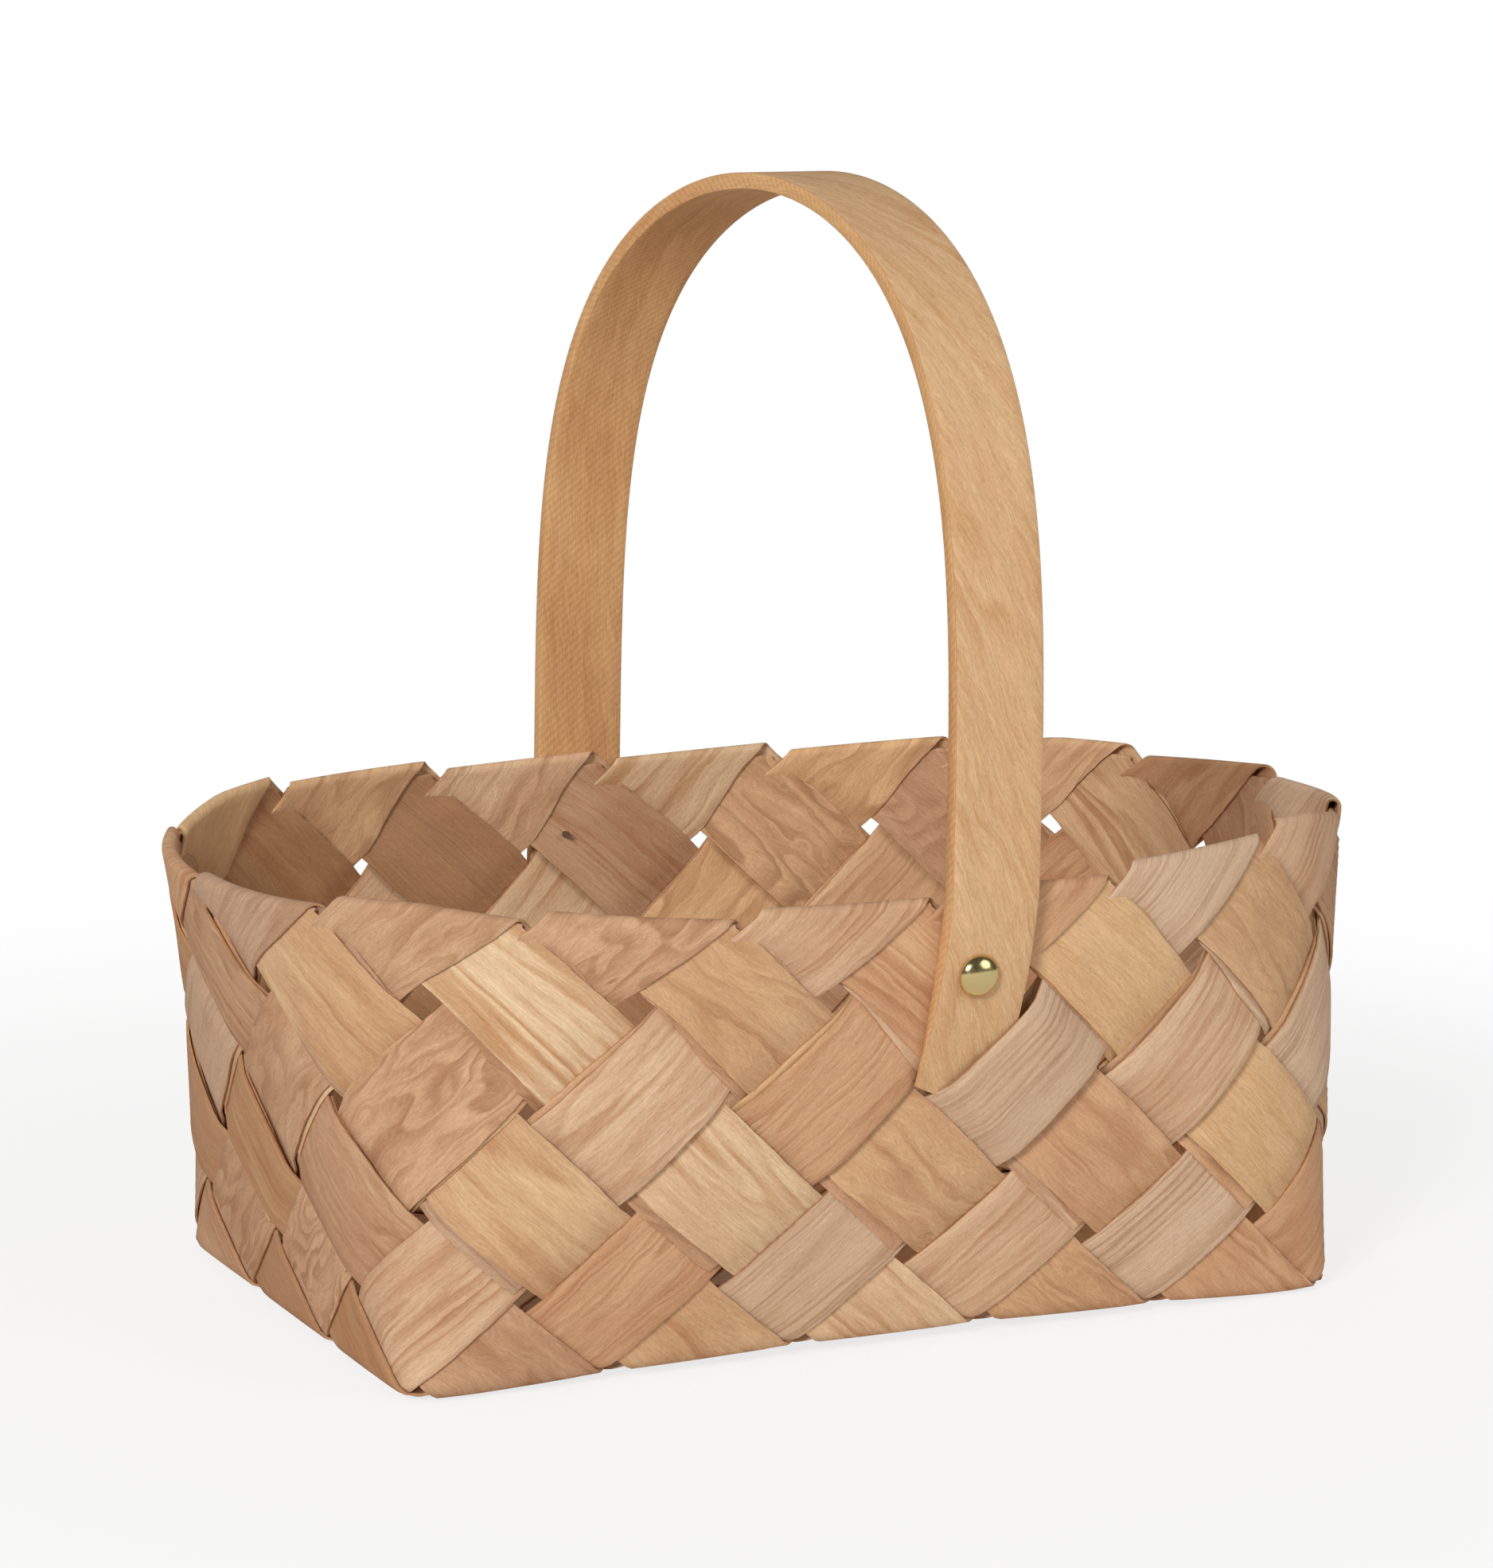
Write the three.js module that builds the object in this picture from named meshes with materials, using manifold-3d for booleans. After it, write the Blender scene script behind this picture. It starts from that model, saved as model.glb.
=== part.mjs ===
// Storage basket: wood strips plaited on the bias, their ends folded in over the rim,
// with an arched bent wood handle held by one domed nail on each long side.
// Millimetres, +Z up, the base rests on Z = 0, the long walls face -Y and +Y.
import * as THREE from "three";
import Module from "manifold-3d";

const wasm = await Module();
wasm.setup();

// Plaiting: strips of one width cross at right angles, at 45 degrees to the base's edges
const stripWidth = 29.4;
const stripGap = 2.4; // between neighbouring strips, which leaves the small square holes
const stripThickness = 0.9;
const layerGap = 0.3; // between strips that lie on each other
const longCellCount = 5; // whole weave cells along the base
const shortCellCount = 3; // and across it
const puffShare = 0.5; // by which the stack of strips loosens at the middle of a crossing

// Shape of the basket
const wallHeight = 102.7; // from the base up to the fold at the rim's corners
const rimSpreadLong = 21.9; // how much further out the rim is than the base at each short end
const rimSpreadShort = 14.1; // and at each long side
const bellyShort = 3.6; // outward swell of the long walls halfway up
const waistLong = 2; // inward curve of the short walls halfway up
const baseSquareness = 30; // exponent of the base outline: high is a rectangle
const rimSquareness = 2.5; // exponent of the rim outline: 2 is an ellipse
const rimSag = 3.5; // how much lower the rim is midway between its corners
const creaseRise = 3.5; // lift of the outer fold at its left end, where it stands open

// Handle
const handleWidth = 21.1;
const handleThickness = 3.4;
const handleFootThickness = 1.2; // the feet are pared down to slide under a strip
const handleRise = 144.5; // from the rim up to the middle of the handle's thickness
const handleShift = 2.1; // to the right for both legs, which are else half a turn apart
const crownShift = 4; // how much further to the right the crown leans
const shoulderSquareness = 3.6; // exponents of the arch: up its legs
const crownSquareness = 2; // and across its crown
const footInset = 12.6; // from the middle of the crossing over a foot to the leg's middle
const footDrop = 38; // how far below the rim the middle of its end lies
const footSteps = 4; // straight pieces of the foot
const footLean = 4.2; // lean of both feet to the left below the rim
const footSlant = 3.5; // how far the slanted end of the foot runs off square, each way
const footClearance = 0.35; // between the foot and the strips that it lies on or under
const handleSteps = 22; // straight pieces of the arch

// Domed nails
const nailDrop = 17.3; // how far below the rim's corners they go in
const nailInset = 11.6; // from the middle of the crossing over a foot to the nail
const nailShift = -2.4; // to the right for both nails, which are else half a turn apart
const nailDiameter = 1.6;
const nailPoint = 1.9; // how far the point shows inside
const nailTaper = 2; // length of the pointed end
const nailHeadDiameter = 3.2;
const nailHeadThickness = 0.5;
const nailClearance = 0.3; // round the shank and under the dome
const domeDiameter = 9.5;
const domeHeight = 2.7;
const domeWall = 0.7;

// Levels of the layers in each row from the rim down to the base's edge, in layers off the
// middle surface: a runs up to the left, b up to the right, and the tails are their ends,
// folded in over the rim
const bodyLevels = { a: [0.5, 1.5, -0.5, 1.5, -0.5, 0.5], b: [1.5, -0.5, 1.5, -0.5, 0.5, -0.5] };
const tailLevels = { a: [-0.5, -1.5, 0.5, -1.5], b: [-1.5, 0.5, -1.5, 0.5] };
const baseOver = 0.5;
const wallRows = bodyLevels.a.length - 1;
const tailRows = tailLevels.a.length - 1;

const pitch = stripWidth + stripGap;
const cell = pitch * Math.SQRT2; // side of one weave cell along the rim
const half = (0.5 * stripWidth) / pitch; // half a crossing's diagonal, in cells
const layer = stripThickness + layerGap;
const skin = stripThickness / 2;
const wallCells = wallRows / 2;
const nailHeight = wallHeight - nailDrop;
const around = 2 * (longCellCount + shortCellCount);
const baseLong = (longCellCount * cell) / 2;
const baseShort = (shortCellCount * cell) / 2;
const baseLevel = layer / 2 + skin;

// The crossing whose strip holds the near foot down; the far one is half a turn away
const footCrossingX = Math.floor(longCellCount / 2) + 1.5;
const footCrossingZ = -1;
const crossingOffset = (footCrossingX - (longCellCount + 1) / 2) * cell;
const handleOffset = crossingOffset - footInset;
const footX = footCrossingX - footInset / cell;
const footEnd = -wallCells * (footDrop / wallHeight);

const brass = { color: 0xd9bf77, roughness: 0.25, metalness: 1 };
const steel = { color: 0x8c8c8c, roughness: 0.4, metalness: 1 };
const handleWood = { color: 0xdcb27c, roughness: 0.65, metalness: 0 };
const stripWoods = [0xd9b083, 0xcfa076, 0xe0bd8c, 0xd7a97c];

// Outline of the basket at a share of the wall's height, 0 at the base and 1 at the rim
function outlineAt(share) {
  const s = Math.max(share, 0);
  const ease = Math.pow(s, 0.86);
  return {
    a: baseLong + rimSpreadLong * s - 4 * waistLong * s * (1 - s),
    b: baseShort + rimSpreadShort * s + 4 * bellyShort * s * (1 - s),
    n: 1 / (1 / baseSquareness + (1 / rimSquareness - 1 / baseSquareness) * ease),
  };
}

// The outline as points at even angles with the length run so far, from the near side's middle
const outlines = new Map();
function outlineTable(share) {
  const key = Math.round(share * 1e6);
  if (outlines.has(key)) return outlines.get(key);
  const { a, b, n } = outlineAt(share);
  const steps = 1440;
  const table = [];
  let run = 0;
  for (let i = 0; i <= steps; i++) {
    const t = (i / steps) * 2 * Math.PI - Math.PI / 2;
    const c = Math.cos(t);
    const s = Math.sin(t);
    const r = Math.pow(Math.pow(Math.abs(c / a), n) + Math.pow(Math.abs(s / b), n), -1 / n);
    const p = new THREE.Vector2(r * c, r * s);
    if (i > 0) run += p.distanceTo(table[i - 1].p);
    table.push({ p, run });
  }
  outlines.set(key, table);
  return table;
}

function pointOnOutline(share, x) {
  const table = outlineTable(share);
  const total = table[table.length - 1].run;
  const middle = (longCellCount + 1) / 2;
  const turns = (((x - middle) / around) % 1 + 1) % 1;
  const want = turns * total;
  let low = 0;
  let high = table.length - 1;
  while (high - low > 1) {
    const mid = (low + high) >> 1;
    if (table[mid].run <= want) low = mid;
    else high = mid;
  }
  const span = table[high].run - table[low].run;
  return table[low].p.clone().lerp(table[high].p, span > 0 ? (want - table[low].run) / span : 0);
}

// Where x runs along a side: 0 at one corner of the basket, 1 at the next
function alongSide(x) {
  const u = (((x - 0.5) % around) + around) % around;
  const v = u % (longCellCount + shortCellCount);
  return v <= longCellCount ? v / longCellCount : (v - longCellCount) / shortCellCount;
}

// Middle surface of the wall: x in cells along the rim, z in cells down from it
function wallPoint(x, z) {
  const share = 1 + z / wallCells;
  const p = pointOnOutline(share, x);
  const sag = rimSag * Math.sin(Math.PI * alongSide(x)) * Math.max(share, 0);
  return new THREE.Vector3(p.x, p.y, baseLevel + (wallHeight - baseLevel) * share - sag);
}

function wallNormal(x, z) {
  const e = 0.02;
  const up = wallPoint(x, z + e).sub(wallPoint(x, Math.max(z - e, -wallCells)));
  const along = wallPoint(x + e, z).sub(wallPoint(x - e, z));
  return along.cross(up).normalize();
}

const near = (p, q) => Math.abs(p - q) < 1e-6;

// Base coordinates, in cells from the near left corner, of a wall's own run carried on below
function basePlace(x, z) {
  const depth = -wallCells - z;
  const u = (((x - 0.5) % around) + around) % around;
  if (u <= longCellCount) return [u, depth];
  if (u <= longCellCount + shortCellCount) return [longCellCount - depth, u - longCellCount];
  const third = 2 * longCellCount + shortCellCount;
  if (u <= third) return [third - u, shortCellCount - depth];
  return [depth, around - u];
}

// A place of the weave: its name, its point on the middle surface and its outward direction.
// At the base's edge the direction is the mitre of wall and base.
function place(x, z) {
  if (z < -wallCells - 1e-6) return onBase(...basePlace(x, z));
  const turn = (((x % around) + around) % around).toFixed(4);
  const point = wallPoint(x, z);
  const out = wallNormal(x, z);
  const down = new THREE.Vector3(0, 0, -1);
  const mitre = 1 + out.dot(down);
  if (near(z, -wallCells)) out.add(down).divideScalar(mitre);
  return { name: "w" + turn + " " + z.toFixed(4), point, out };
}

function onBase(x, y) {
  return {
    name: "b" + x.toFixed(4) + " " + y.toFixed(4),
    point: new THREE.Vector3(x * cell - baseLong, y * cell - baseShort, baseLevel),
    out: new THREE.Vector3(0, 0, -1),
  };
}

// A strip as a sheet of triangles on its middle surface, thickened to both sides
class Sheet {
  constructor() {
    this.names = new Map();
    this.points = [];
    this.outs = [];
    this.faces = [];
  }

  // Adds a point of the sheet at a level off the weave's middle surface; front is 1 or -1,
  // and -1 is the part that has been folded over, whose front looks in
  at(spot, level, front, extra = "") {
    const name = spot.name + " " + front + extra;
    if (!this.names.has(name)) {
      this.names.set(name, this.points.length);
      this.points.push(spot.point.clone().addScaledVector(spot.out, level));
      this.outs.push(spot.out.clone().multiplyScalar(front));
    }
    return this.names.get(name);
  }

  face(...loop) {
    for (let i = 1; i + 1 < loop.length; i++) {
      const three = [loop[0], loop[i], loop[i + 1]];
      if (new Set(three).size === 3) this.faces.push(three);
    }
  }

  geometry() {
    const count = this.points.length;
    const positions = [];
    for (const side of [1, -1]) {
      this.points.forEach((p, i) => {
        const q = p.clone().addScaledVector(this.outs[i], side * skin);
        positions.push(q.x, q.y, q.z);
      });
    }
    const index = [];
    const edges = new Map();
    for (const [a, b, c] of this.faces) {
      index.push(a, b, c, a + count, c + count, b + count);
      for (const [p, q] of [[a, b], [b, c], [c, a]]) edges.set(p + " " + q, [p, q]);
    }
    for (const [p, q] of edges.values()) {
      if (edges.has(q + " " + p)) continue;
      index.push(p, q + count, q, p, p + count, q + count);
    }
    const g = new THREE.BufferGeometry();
    g.setAttribute("position", new THREE.Float32BufferAttribute(positions, 3));
    g.setIndex(index);
    return g;
  }
}

// The four corners of a crossing, named as a strip that travels by (fx, fz) meets them
function corners(x, z, fx, fz) {
  const c = half;
  return {
    inLeft: [x - c * (fx + fz) / 2, z + c * (fx - fz) / 2],
    inRight: [x - c * (fx - fz) / 2, z - c * (fx + fz) / 2],
    outLeft: [x + c * (fx - fz) / 2, z + c * (fx + fz) / 2],
    outRight: [x + c * (fx + fz) / 2, z - c * (fx - fz) / 2],
  };
}

// Whether a crossing is the one so many cells from the foot's, on either long side
function atFoot(x, z, dx, dz) {
  const run = (x - footCrossingX - dx) / (around / 2);
  return near(run, Math.round(run)) && near(z, footCrossingZ + dz);
}

// The height that a foot of the handle needs under the strip that holds it down
function footLift(spot) {
  const thick = { left: footThickness(-1), top: footThickness(-0.5), middle: footThickness(-0.8) };
  return spot in thick ? thick[spot] + stripThickness + 2 * footClearance : footClearance;
}

function levelAt(kind, tail, row, x, z, spot) {
  const own = (tail ? tailLevels : bodyLevels)[kind][row] * layer;
  if (kind === "b" && !tail && atFoot(x, z, 0, 0)) return own + footLift(spot);
  const loose = spot === "middle" && row > 0 && row < wallRows;
  return loose && !atFoot(x, z, -0.5, 0.5) ? own * (1 + puffShare) : own;
}

// Which corner of the crossing a place is, seen from outside
function spotOf(x, z, px, pz) {
  if (near(px, x)) return pz > z ? "top" : "bottom";
  return px < x ? "left" : "right";
}

// One crossing of a strip on a wall, and the names of the points where it comes and goes
function wallCell(sheet, kind, tail, row, x, z, fx) {
  const front = tail ? -1 : 1;
  const put = ([px, pz], spot) =>
    sheet.at(place(px, pz), levelAt(kind, tail, row, x, z, spot), front);
  const corner = (p) => put(p, spotOf(x, z, ...p));
  const c = corners(x, z, fx, -1);
  const ends = {};
  for (const name of ["inLeft", "inRight", "outLeft", "outRight"]) ends[name] = corner(c[name]);
  if (row === 0) return ends;
  const middle = put([x, z], "middle");
  const ring = [ends.inLeft, ends.inRight, ends.outRight, ends.outLeft];
  ring.forEach((p, i) => {
    const q = ring[(i + 1) % 4];
    if (front > 0) sheet.face(p, q, middle);
    else sheet.face(q, p, middle);
  });
  return ends;
}

// The bridge from one crossing to the next. Its diagonal lies as level as it can, so that
// strips on the same track are cut into the same triangles.
function bridge(sheet, front, p, q, r, s, flip) {
  const loop = flip ? [p, q, r, s] : [q, r, s, p];
  if (front < 0) loop.reverse();
  if (front < 0 && !flip) loop.unshift(loop.pop());
  sheet.face(...loop);
}

// The fold over the rim: from the outer face up, over and down to the inner face
function rimFold(sheet, kind, x, fx) {
  const outer = bodyLevels[kind][0] * layer;
  const rise = kind === "b" ? creaseRise / cell : 0;
  const spots = [[x - half, 0], [x, 0], [x + half, 0]];
  const raised = [[x - half + rise, rise], [x + rise / 2, rise / 2], [x + half, 0]];
  const steps = 3;
  const lines = [spots.map(([px, pz]) => sheet.at(place(px, pz), outer, 1))];
  for (let i = 0; i <= steps; i++) {
    const turn = (Math.PI * i) / steps;
    lines.push(raised.map(([px, pz]) => arcPoint(sheet, px, pz, outer, turn)));
  }
  lines.push(spots.map(([px, pz]) => sheet.at(place(px, pz), -outer, -1)));
  for (let i = 0; i + 1 < lines.length; i++) {
    const [l, c, r] = lines[i];
    const [l2, c2, r2] = lines[i + 1];
    sheet.face(l, c, c2, l2);
    sheet.face(c, r, r2, c2);
  }
  const low = place(x, -half);
  const outerLow = sheet.at(low, outer, 1);
  const innerLow = sheet.at(low, -outer, -1);
  const [l, c, r] = lines[0];
  const [li, ci, ri] = lines[lines.length - 1];
  sheet.face(l, outerLow, c);
  sheet.face(outerLow, r, c);
  sheet.face(li, ci, innerLow);
  sheet.face(ci, ri, innerLow);
}

// A point of the fold's arc: turn 0 looks out, 180 degrees looks in
function arcPoint(sheet, x, z, radius, turn) {
  const spot = place(x, z);
  const flat = near(z, 0);
  if (flat && turn === 0) return sheet.at(spot, radius, 1);
  if (flat && near(turn, Math.PI)) return sheet.at(spot, -radius, -1);
  const along = place(x + 0.02, z).point.sub(place(x - 0.02, z).point).normalize();
  const up = spot.out.clone().cross(along).normalize();
  const out = spot.out.clone().multiplyScalar(Math.cos(turn)).addScaledVector(up, Math.sin(turn));
  const name = spot.name + " arc" + turn.toFixed(3);
  return sheet.at({ name, point: spot.point, out }, radius, 1);
}

// One wall's share of a strip: fold, rows down to the base's edge, and the folded end inside.
// x is where the strip crosses the base's edge and fx is how it moves along the wall going down.
function wallLeg(sheet, x, fx) {
  const kind = fx > 0 ? "a" : "b";
  const top = x - (fx * wallRows) / 2;
  let last = null;
  for (let row = 0; row <= wallRows; row++) {
    const ends = wallCell(sheet, kind, false, row, top + (fx * row) / 2, -row / 2, fx);
    if (last) bridge(sheet, 1, last.outLeft, last.outRight, ends.inRight, ends.inLeft, fx > 0);
    last = ends;
  }
  rimFold(sheet, kind, top, fx);
  let inner = null;
  for (let row = 0; row <= tailRows; row++) {
    const at = top - (fx * row) / 2;
    const rim = row === 0;
    const ends = rim
      ? rimInner(sheet, kind, top, -fx)
      : wallCell(sheet, kind, true, row, at, -row / 2, -fx);
    if (inner) bridge(sheet, -1, inner.outLeft, inner.outRight, ends.inRight, ends.inLeft, fx < 0);
    inner = ends;
  }
  return last;
}

function rimInner(sheet, kind, x, fx) {
  const c = corners(x, 0, fx, -1);
  const level = tailLevels[kind][0] * layer;
  return {
    outLeft: sheet.at(place(...c.outLeft), level, -1),
    outRight: sheet.at(place(...c.outRight), level, -1),
  };
}

// One crossing on the base; left and right are as seen from below
function baseCell(sheet, level, x, y, fy) {
  const c = half;
  const put = (px, py) => sheet.at(onBase(px, py), level, 1);
  const ends = {
    inLeft: put(x - (c * (1 - fy)) / 2, y - (c * (fy + 1)) / 2),
    inRight: put(x - (c * (1 + fy)) / 2, y - (c * (fy - 1)) / 2),
    outLeft: put(x + (c * (1 + fy)) / 2, y + (c * (fy - 1)) / 2),
    outRight: put(x + (c * (1 - fy)) / 2, y + (c * (fy + 1)) / 2),
  };
  const middle = put(x, y);
  const ring = [ends.inLeft, ends.inRight, ends.outRight, ends.outLeft];
  ring.forEach((p, i) => sheet.face(p, ring[(i + 1) % 4], middle));
  return ends;
}

// A whole strip. slope is 1 for strips that run back as they go right, and -1 for the others.
function strip(slope, offset) {
  const sheet = new Sheet();
  const rising = slope > 0;
  const start = Math.max(0, rising ? -offset : offset - shortCellCount);
  const end = Math.min(longCellCount, rising ? shortCellCount - offset : offset);
  const yAt = (x) => offset + slope * x;
  const first = wallLeg(sheet, edgeX(start, yAt(start)), edgeMove(start, yAt(start), slope, 1));
  let out = { left: first.outLeft, right: first.outRight };
  for (let x = start + 0.5; x < end - 0.1; x += 0.5) {
    const over = near(x % 1, 0.5) === slope > 0;
    const ends = baseCell(sheet, (over ? baseOver : -baseOver) * layer, x, yAt(x), slope);
    bridge(sheet, 1, out.left, out.right, ends.inRight, ends.inLeft, slope > 0);
    out = { left: ends.outLeft, right: ends.outRight };
  }
  const back = wallLeg(sheet, edgeX(end, yAt(end)), edgeMove(end, yAt(end), slope, -1));
  bridge(sheet, 1, out.left, out.right, back.outLeft, back.outRight, slope > 0);
  return sheet.geometry();
}

// The run along the rim of a point of the base's edge
function edgeX(x, y) {
  if (near(y, 0)) return x + 0.5;
  if (near(x, longCellCount)) return 0.5 + longCellCount + y;
  if (near(y, shortCellCount)) return 0.5 + longCellCount + shortCellCount + (longCellCount - x);
  return 0.5 + around - y;
}

// How a strip moves along the wall as it comes down to that point; way is 1 where it starts
function edgeMove(x, y, slope, way) {
  if (near(y, 0)) return way;
  if (near(y, shortCellCount)) return -way;
  if (near(x, longCellCount)) return way * slope;
  return -way * slope;
}

function manifoldOf(geometry) {
  const mesh = new wasm.Mesh({
    numProp: 3,
    vertProperties: new Float32Array(geometry.getAttribute("position").array),
    triVerts: new Uint32Array(geometry.index.array),
  });
  return new wasm.Manifold(mesh);
}

function geometryOf(solid) {
  const mesh = solid.getMesh();
  const g = new THREE.BufferGeometry();
  const positions = new Float32Array(mesh.numVert * 3);
  for (let i = 0; i < mesh.numVert; i++) {
    const from = i * mesh.numProp;
    positions.set(mesh.vertProperties.subarray(from, from + 3), i * 3);
  }
  g.setAttribute("position", new THREE.BufferAttribute(positions, 3));
  g.setIndex(new THREE.BufferAttribute(new Uint32Array(mesh.triVerts), 1));
  return g;
}

// A shape turned about a shaft that points out of the near wall
function turned(profile, segments) {
  const points = profile.map(([r, y]) => new THREE.Vector2(r, y));
  const lathe = new THREE.LatheGeometry(points, segments);
  lathe.deleteAttribute("normal");
  lathe.deleteAttribute("uv");
  const g = weld(lathe);
  g.rotateX(Math.PI);
  return g;
}

// Joins points that coincide and drops the faces that close up
function weld(geometry) {
  const from = geometry.getAttribute("position");
  const names = new Map();
  const positions = [];
  const map = [];
  for (let i = 0; i < from.count; i++) {
    const p = [from.getX(i), from.getY(i), from.getZ(i)];
    const name = p.map((v) => (Math.round(v * 1e4) + 0).toString()).join(" ");
    if (!names.has(name)) {
      names.set(name, positions.length / 3);
      positions.push(...p);
    }
    map.push(names.get(name));
  }
  const index = [];
  for (let i = 0; i < geometry.index.count; i += 3) {
    const t = [0, 1, 2].map((k) => map[geometry.index.getX(i + k)]);
    if (new Set(t).size === 3) index.push(...t);
  }
  const g = new THREE.BufferGeometry();
  g.setAttribute("position", new THREE.Float32BufferAttribute(positions, 3));
  g.setIndex(index);
  return g;
}

// The foot's thickness at a height of the weave: full at the rim, pared down to its end
function footThickness(z) {
  const share = THREE.MathUtils.clamp(1 - z / footEnd, 0, 1);
  return THREE.MathUtils.lerp(handleFootThickness, handleThickness, Math.pow(share, 1.4));
}

// Half the handle seen from its edge, from the near foot up to the crown: y, z and thickness
function handleHalf() {
  const off = 1.5 * layer + skin + footClearance;
  const points = [];
  for (let i = 0; i <= footSteps; i++) {
    const z = footEnd * (1 - i / footSteps);
    const thick = footThickness(z);
    const wall = wallPoint(footX, z);
    points.push({ y: wall.y - off - thick / 2, z: wall.z, thick });
  }
  const base = points[points.length - 1];
  for (let i = 1; i <= handleSteps; i++) {
    const t = (Math.PI / 2) * (i / handleSteps);
    const up = Math.pow(Math.sin(t), 2 / shoulderSquareness);
    const across = Math.pow(Math.cos(t), 2 / crownSquareness);
    points.push({ y: base.y * across, z: base.z + up * handleRise, thick: handleThickness });
  }
  points[points.length - 1].y = 0;
  return points;
}

function handle() {
  const rising = handleHalf();
  const falling = rising.slice(0, -1).reverse().map((p) => ({ ...p, y: -p.y }));
  const path = [...rising, ...falling];
  const leg = -rising[footSteps].y;
  const rim = rising[footSteps].z;
  const low = rising[0].z;
  const positions = [];
  const index = [];
  path.forEach((p, i) => {
    const before = path[Math.max(i - 1, 0)];
    const after = path[Math.min(i + 1, path.length - 1)];
    const tangent = new THREE.Vector2(after.y - before.y, after.z - before.z).normalize();
    const lean = footLean * Math.max(0, (rim - p.z) / (rim - low));
    const crown = crownShift * Math.max(0, 1 - (p.y / leg) ** 2);
    const x = handleOffset * (-p.y / leg) + handleShift + crown - lean;
    const end = i === 0 ? 1 : i === path.length - 1 ? -1 : 0;
    for (const [across, out] of [[-1, 1], [1, 1], [1, -1], [-1, -1]]) {
      const slide = Math.abs(end) * across * footSlant;
      positions.push(
        x + (across * handleWidth) / 2,
        p.y - tangent.y * out * (p.thick / 2) + tangent.x * slide,
        p.z + tangent.x * out * (p.thick / 2) + tangent.y * slide,
      );
    }
    if (i === 0) return;
    for (let k = 0; k < 4; k++) {
      const a = (i - 1) * 4 + k;
      const b = (i - 1) * 4 + ((k + 1) % 4);
      index.push(a, b, b + 4, a, b + 4, a + 4);
    }
  });
  const last = (path.length - 1) * 4;
  index.push(0, 3, 2, 0, 2, 1, last, last + 1, last + 2, last, last + 2, last + 3);
  const g = new THREE.BufferGeometry();
  g.setAttribute("position", new THREE.Float32BufferAttribute(positions, 3));
  g.setIndex(index);
  return g;
}

// Where the near nail goes in, on the handle's outer face, and how far that face leans out
function nailSeat() {
  const rising = handleHalf();
  const upper = rising.findIndex((p) => p.z > nailHeight);
  const p = rising[upper - 1];
  const q = rising[upper];
  const t = (nailHeight - p.z) / (q.z - p.z);
  const face = (point) => point.y - point.thick / 2;
  const y = THREE.MathUtils.lerp(face(p), face(q), t);
  const lean = Math.atan2(face(p) - face(q), q.z - p.z);
  return { at: new THREE.Vector3(crossingOffset - nailInset, y, nailHeight), lean };
}

function placed(geometry, seat, far) {
  const g = geometry.clone().rotateX(seat.lean).translate(seat.at.x, seat.at.y, seat.at.z);
  if (far) g.rotateZ(Math.PI);
  return g.translate(nailShift, 0, 0);
}

// The thin domed cap, hollow underneath
function dome() {
  const r = domeDiameter / 2;
  const profile = [[0, domeHeight - domeWall]];
  const steps = 6;
  for (let i = 1; i <= steps; i++) {
    const t = (Math.PI / 2) * (i / steps);
    profile.push([(r - domeWall) * Math.sin(t), (domeHeight - domeWall) * Math.cos(t)]);
  }
  for (let i = steps; i > 0; i--) {
    const t = (Math.PI / 2) * (i / steps);
    profile.push([r * Math.sin(t), domeHeight * Math.cos(t)]);
  }
  profile.push([0, domeHeight]);
  const g = turned(profile, 32);
  g.translate(0, -nailClearance, 0);
  return g;
}

// The steel nail under the cap: a small head, the shank and its point
function nail() {
  const r = nailDiameter / 2;
  const inside = wallPoint(footX, -wallCells * (nailDrop / wallHeight)).y + 1.5 * layer + skin;
  const length = inside - nailSeat().at.y + nailPoint;
  const head = domeHeight - domeWall - nailClearance;
  const wide = nailHeadDiameter / 2;
  const under = head - nailHeadThickness;
  const shank = [[0, -length], [r, -length + nailTaper], [r, under]];
  const profile = [...shank, [wide, under], [wide, head], [0, head]];
  const g = turned(profile, 24);
  g.translate(0, -nailClearance, 0);
  return g;
}

// The drilled hole through handle and wall, as long as the basket is deep
function nailHole(seat, far) {
  const r = nailDiameter / 2 + nailClearance;
  const g = new THREE.CylinderGeometry(r, r, baseShort, 16);
  g.deleteAttribute("normal");
  g.deleteAttribute("uv");
  return manifoldOf(placed(weld(g), seat, far));
}

const seat = nailSeat();
const holes = nailHole(seat, false).add(nailHole(seat, true));

function drilled(geometry) {
  const solid = manifoldOf(weld(geometry));
  return geometryOf(solid.subtract(holes));
}

const basket = new THREE.Group();

function addPiece(name, geometry, look) {
  const mesh = new THREE.Mesh(geometry, new THREE.MeshStandardMaterial(look));
  mesh.name = name;
  basket.add(mesh);
}

const stripCount = longCellCount + shortCellCount;
for (let i = 0; i < stripCount; i++) {
  const wood = { color: stripWoods[i % stripWoods.length], roughness: 0.75, metalness: 0 };
  addPiece("strip_right_" + (i + 1), drilled(strip(1, i + 0.5 - longCellCount)), wood);
  addPiece("strip_left_" + (i + 1), drilled(strip(-1, i + 0.5)), wood);
}
addPiece("handle", drilled(handle()), handleWood);
for (const [side, far] of [["near", false], ["far", true]]) {
  addPiece("dome_" + side, placed(dome(), seat, far), brass);
  addPiece("nail_" + side, placed(nail(), seat, far), steel);
}

export default basket;
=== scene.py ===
# Looks of a small storage basket plaited from wide wood strips, with a bent wood handle,
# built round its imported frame. Metres, +Z up, the near long wall faces -Y.
import math
from typing import NamedTuple

import bmesh
import bpy
import numpy as np
from bpy.props import FloatProperty, FloatVectorProperty, IntProperty, PointerProperty
from mathutils import Matrix, Vector


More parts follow.
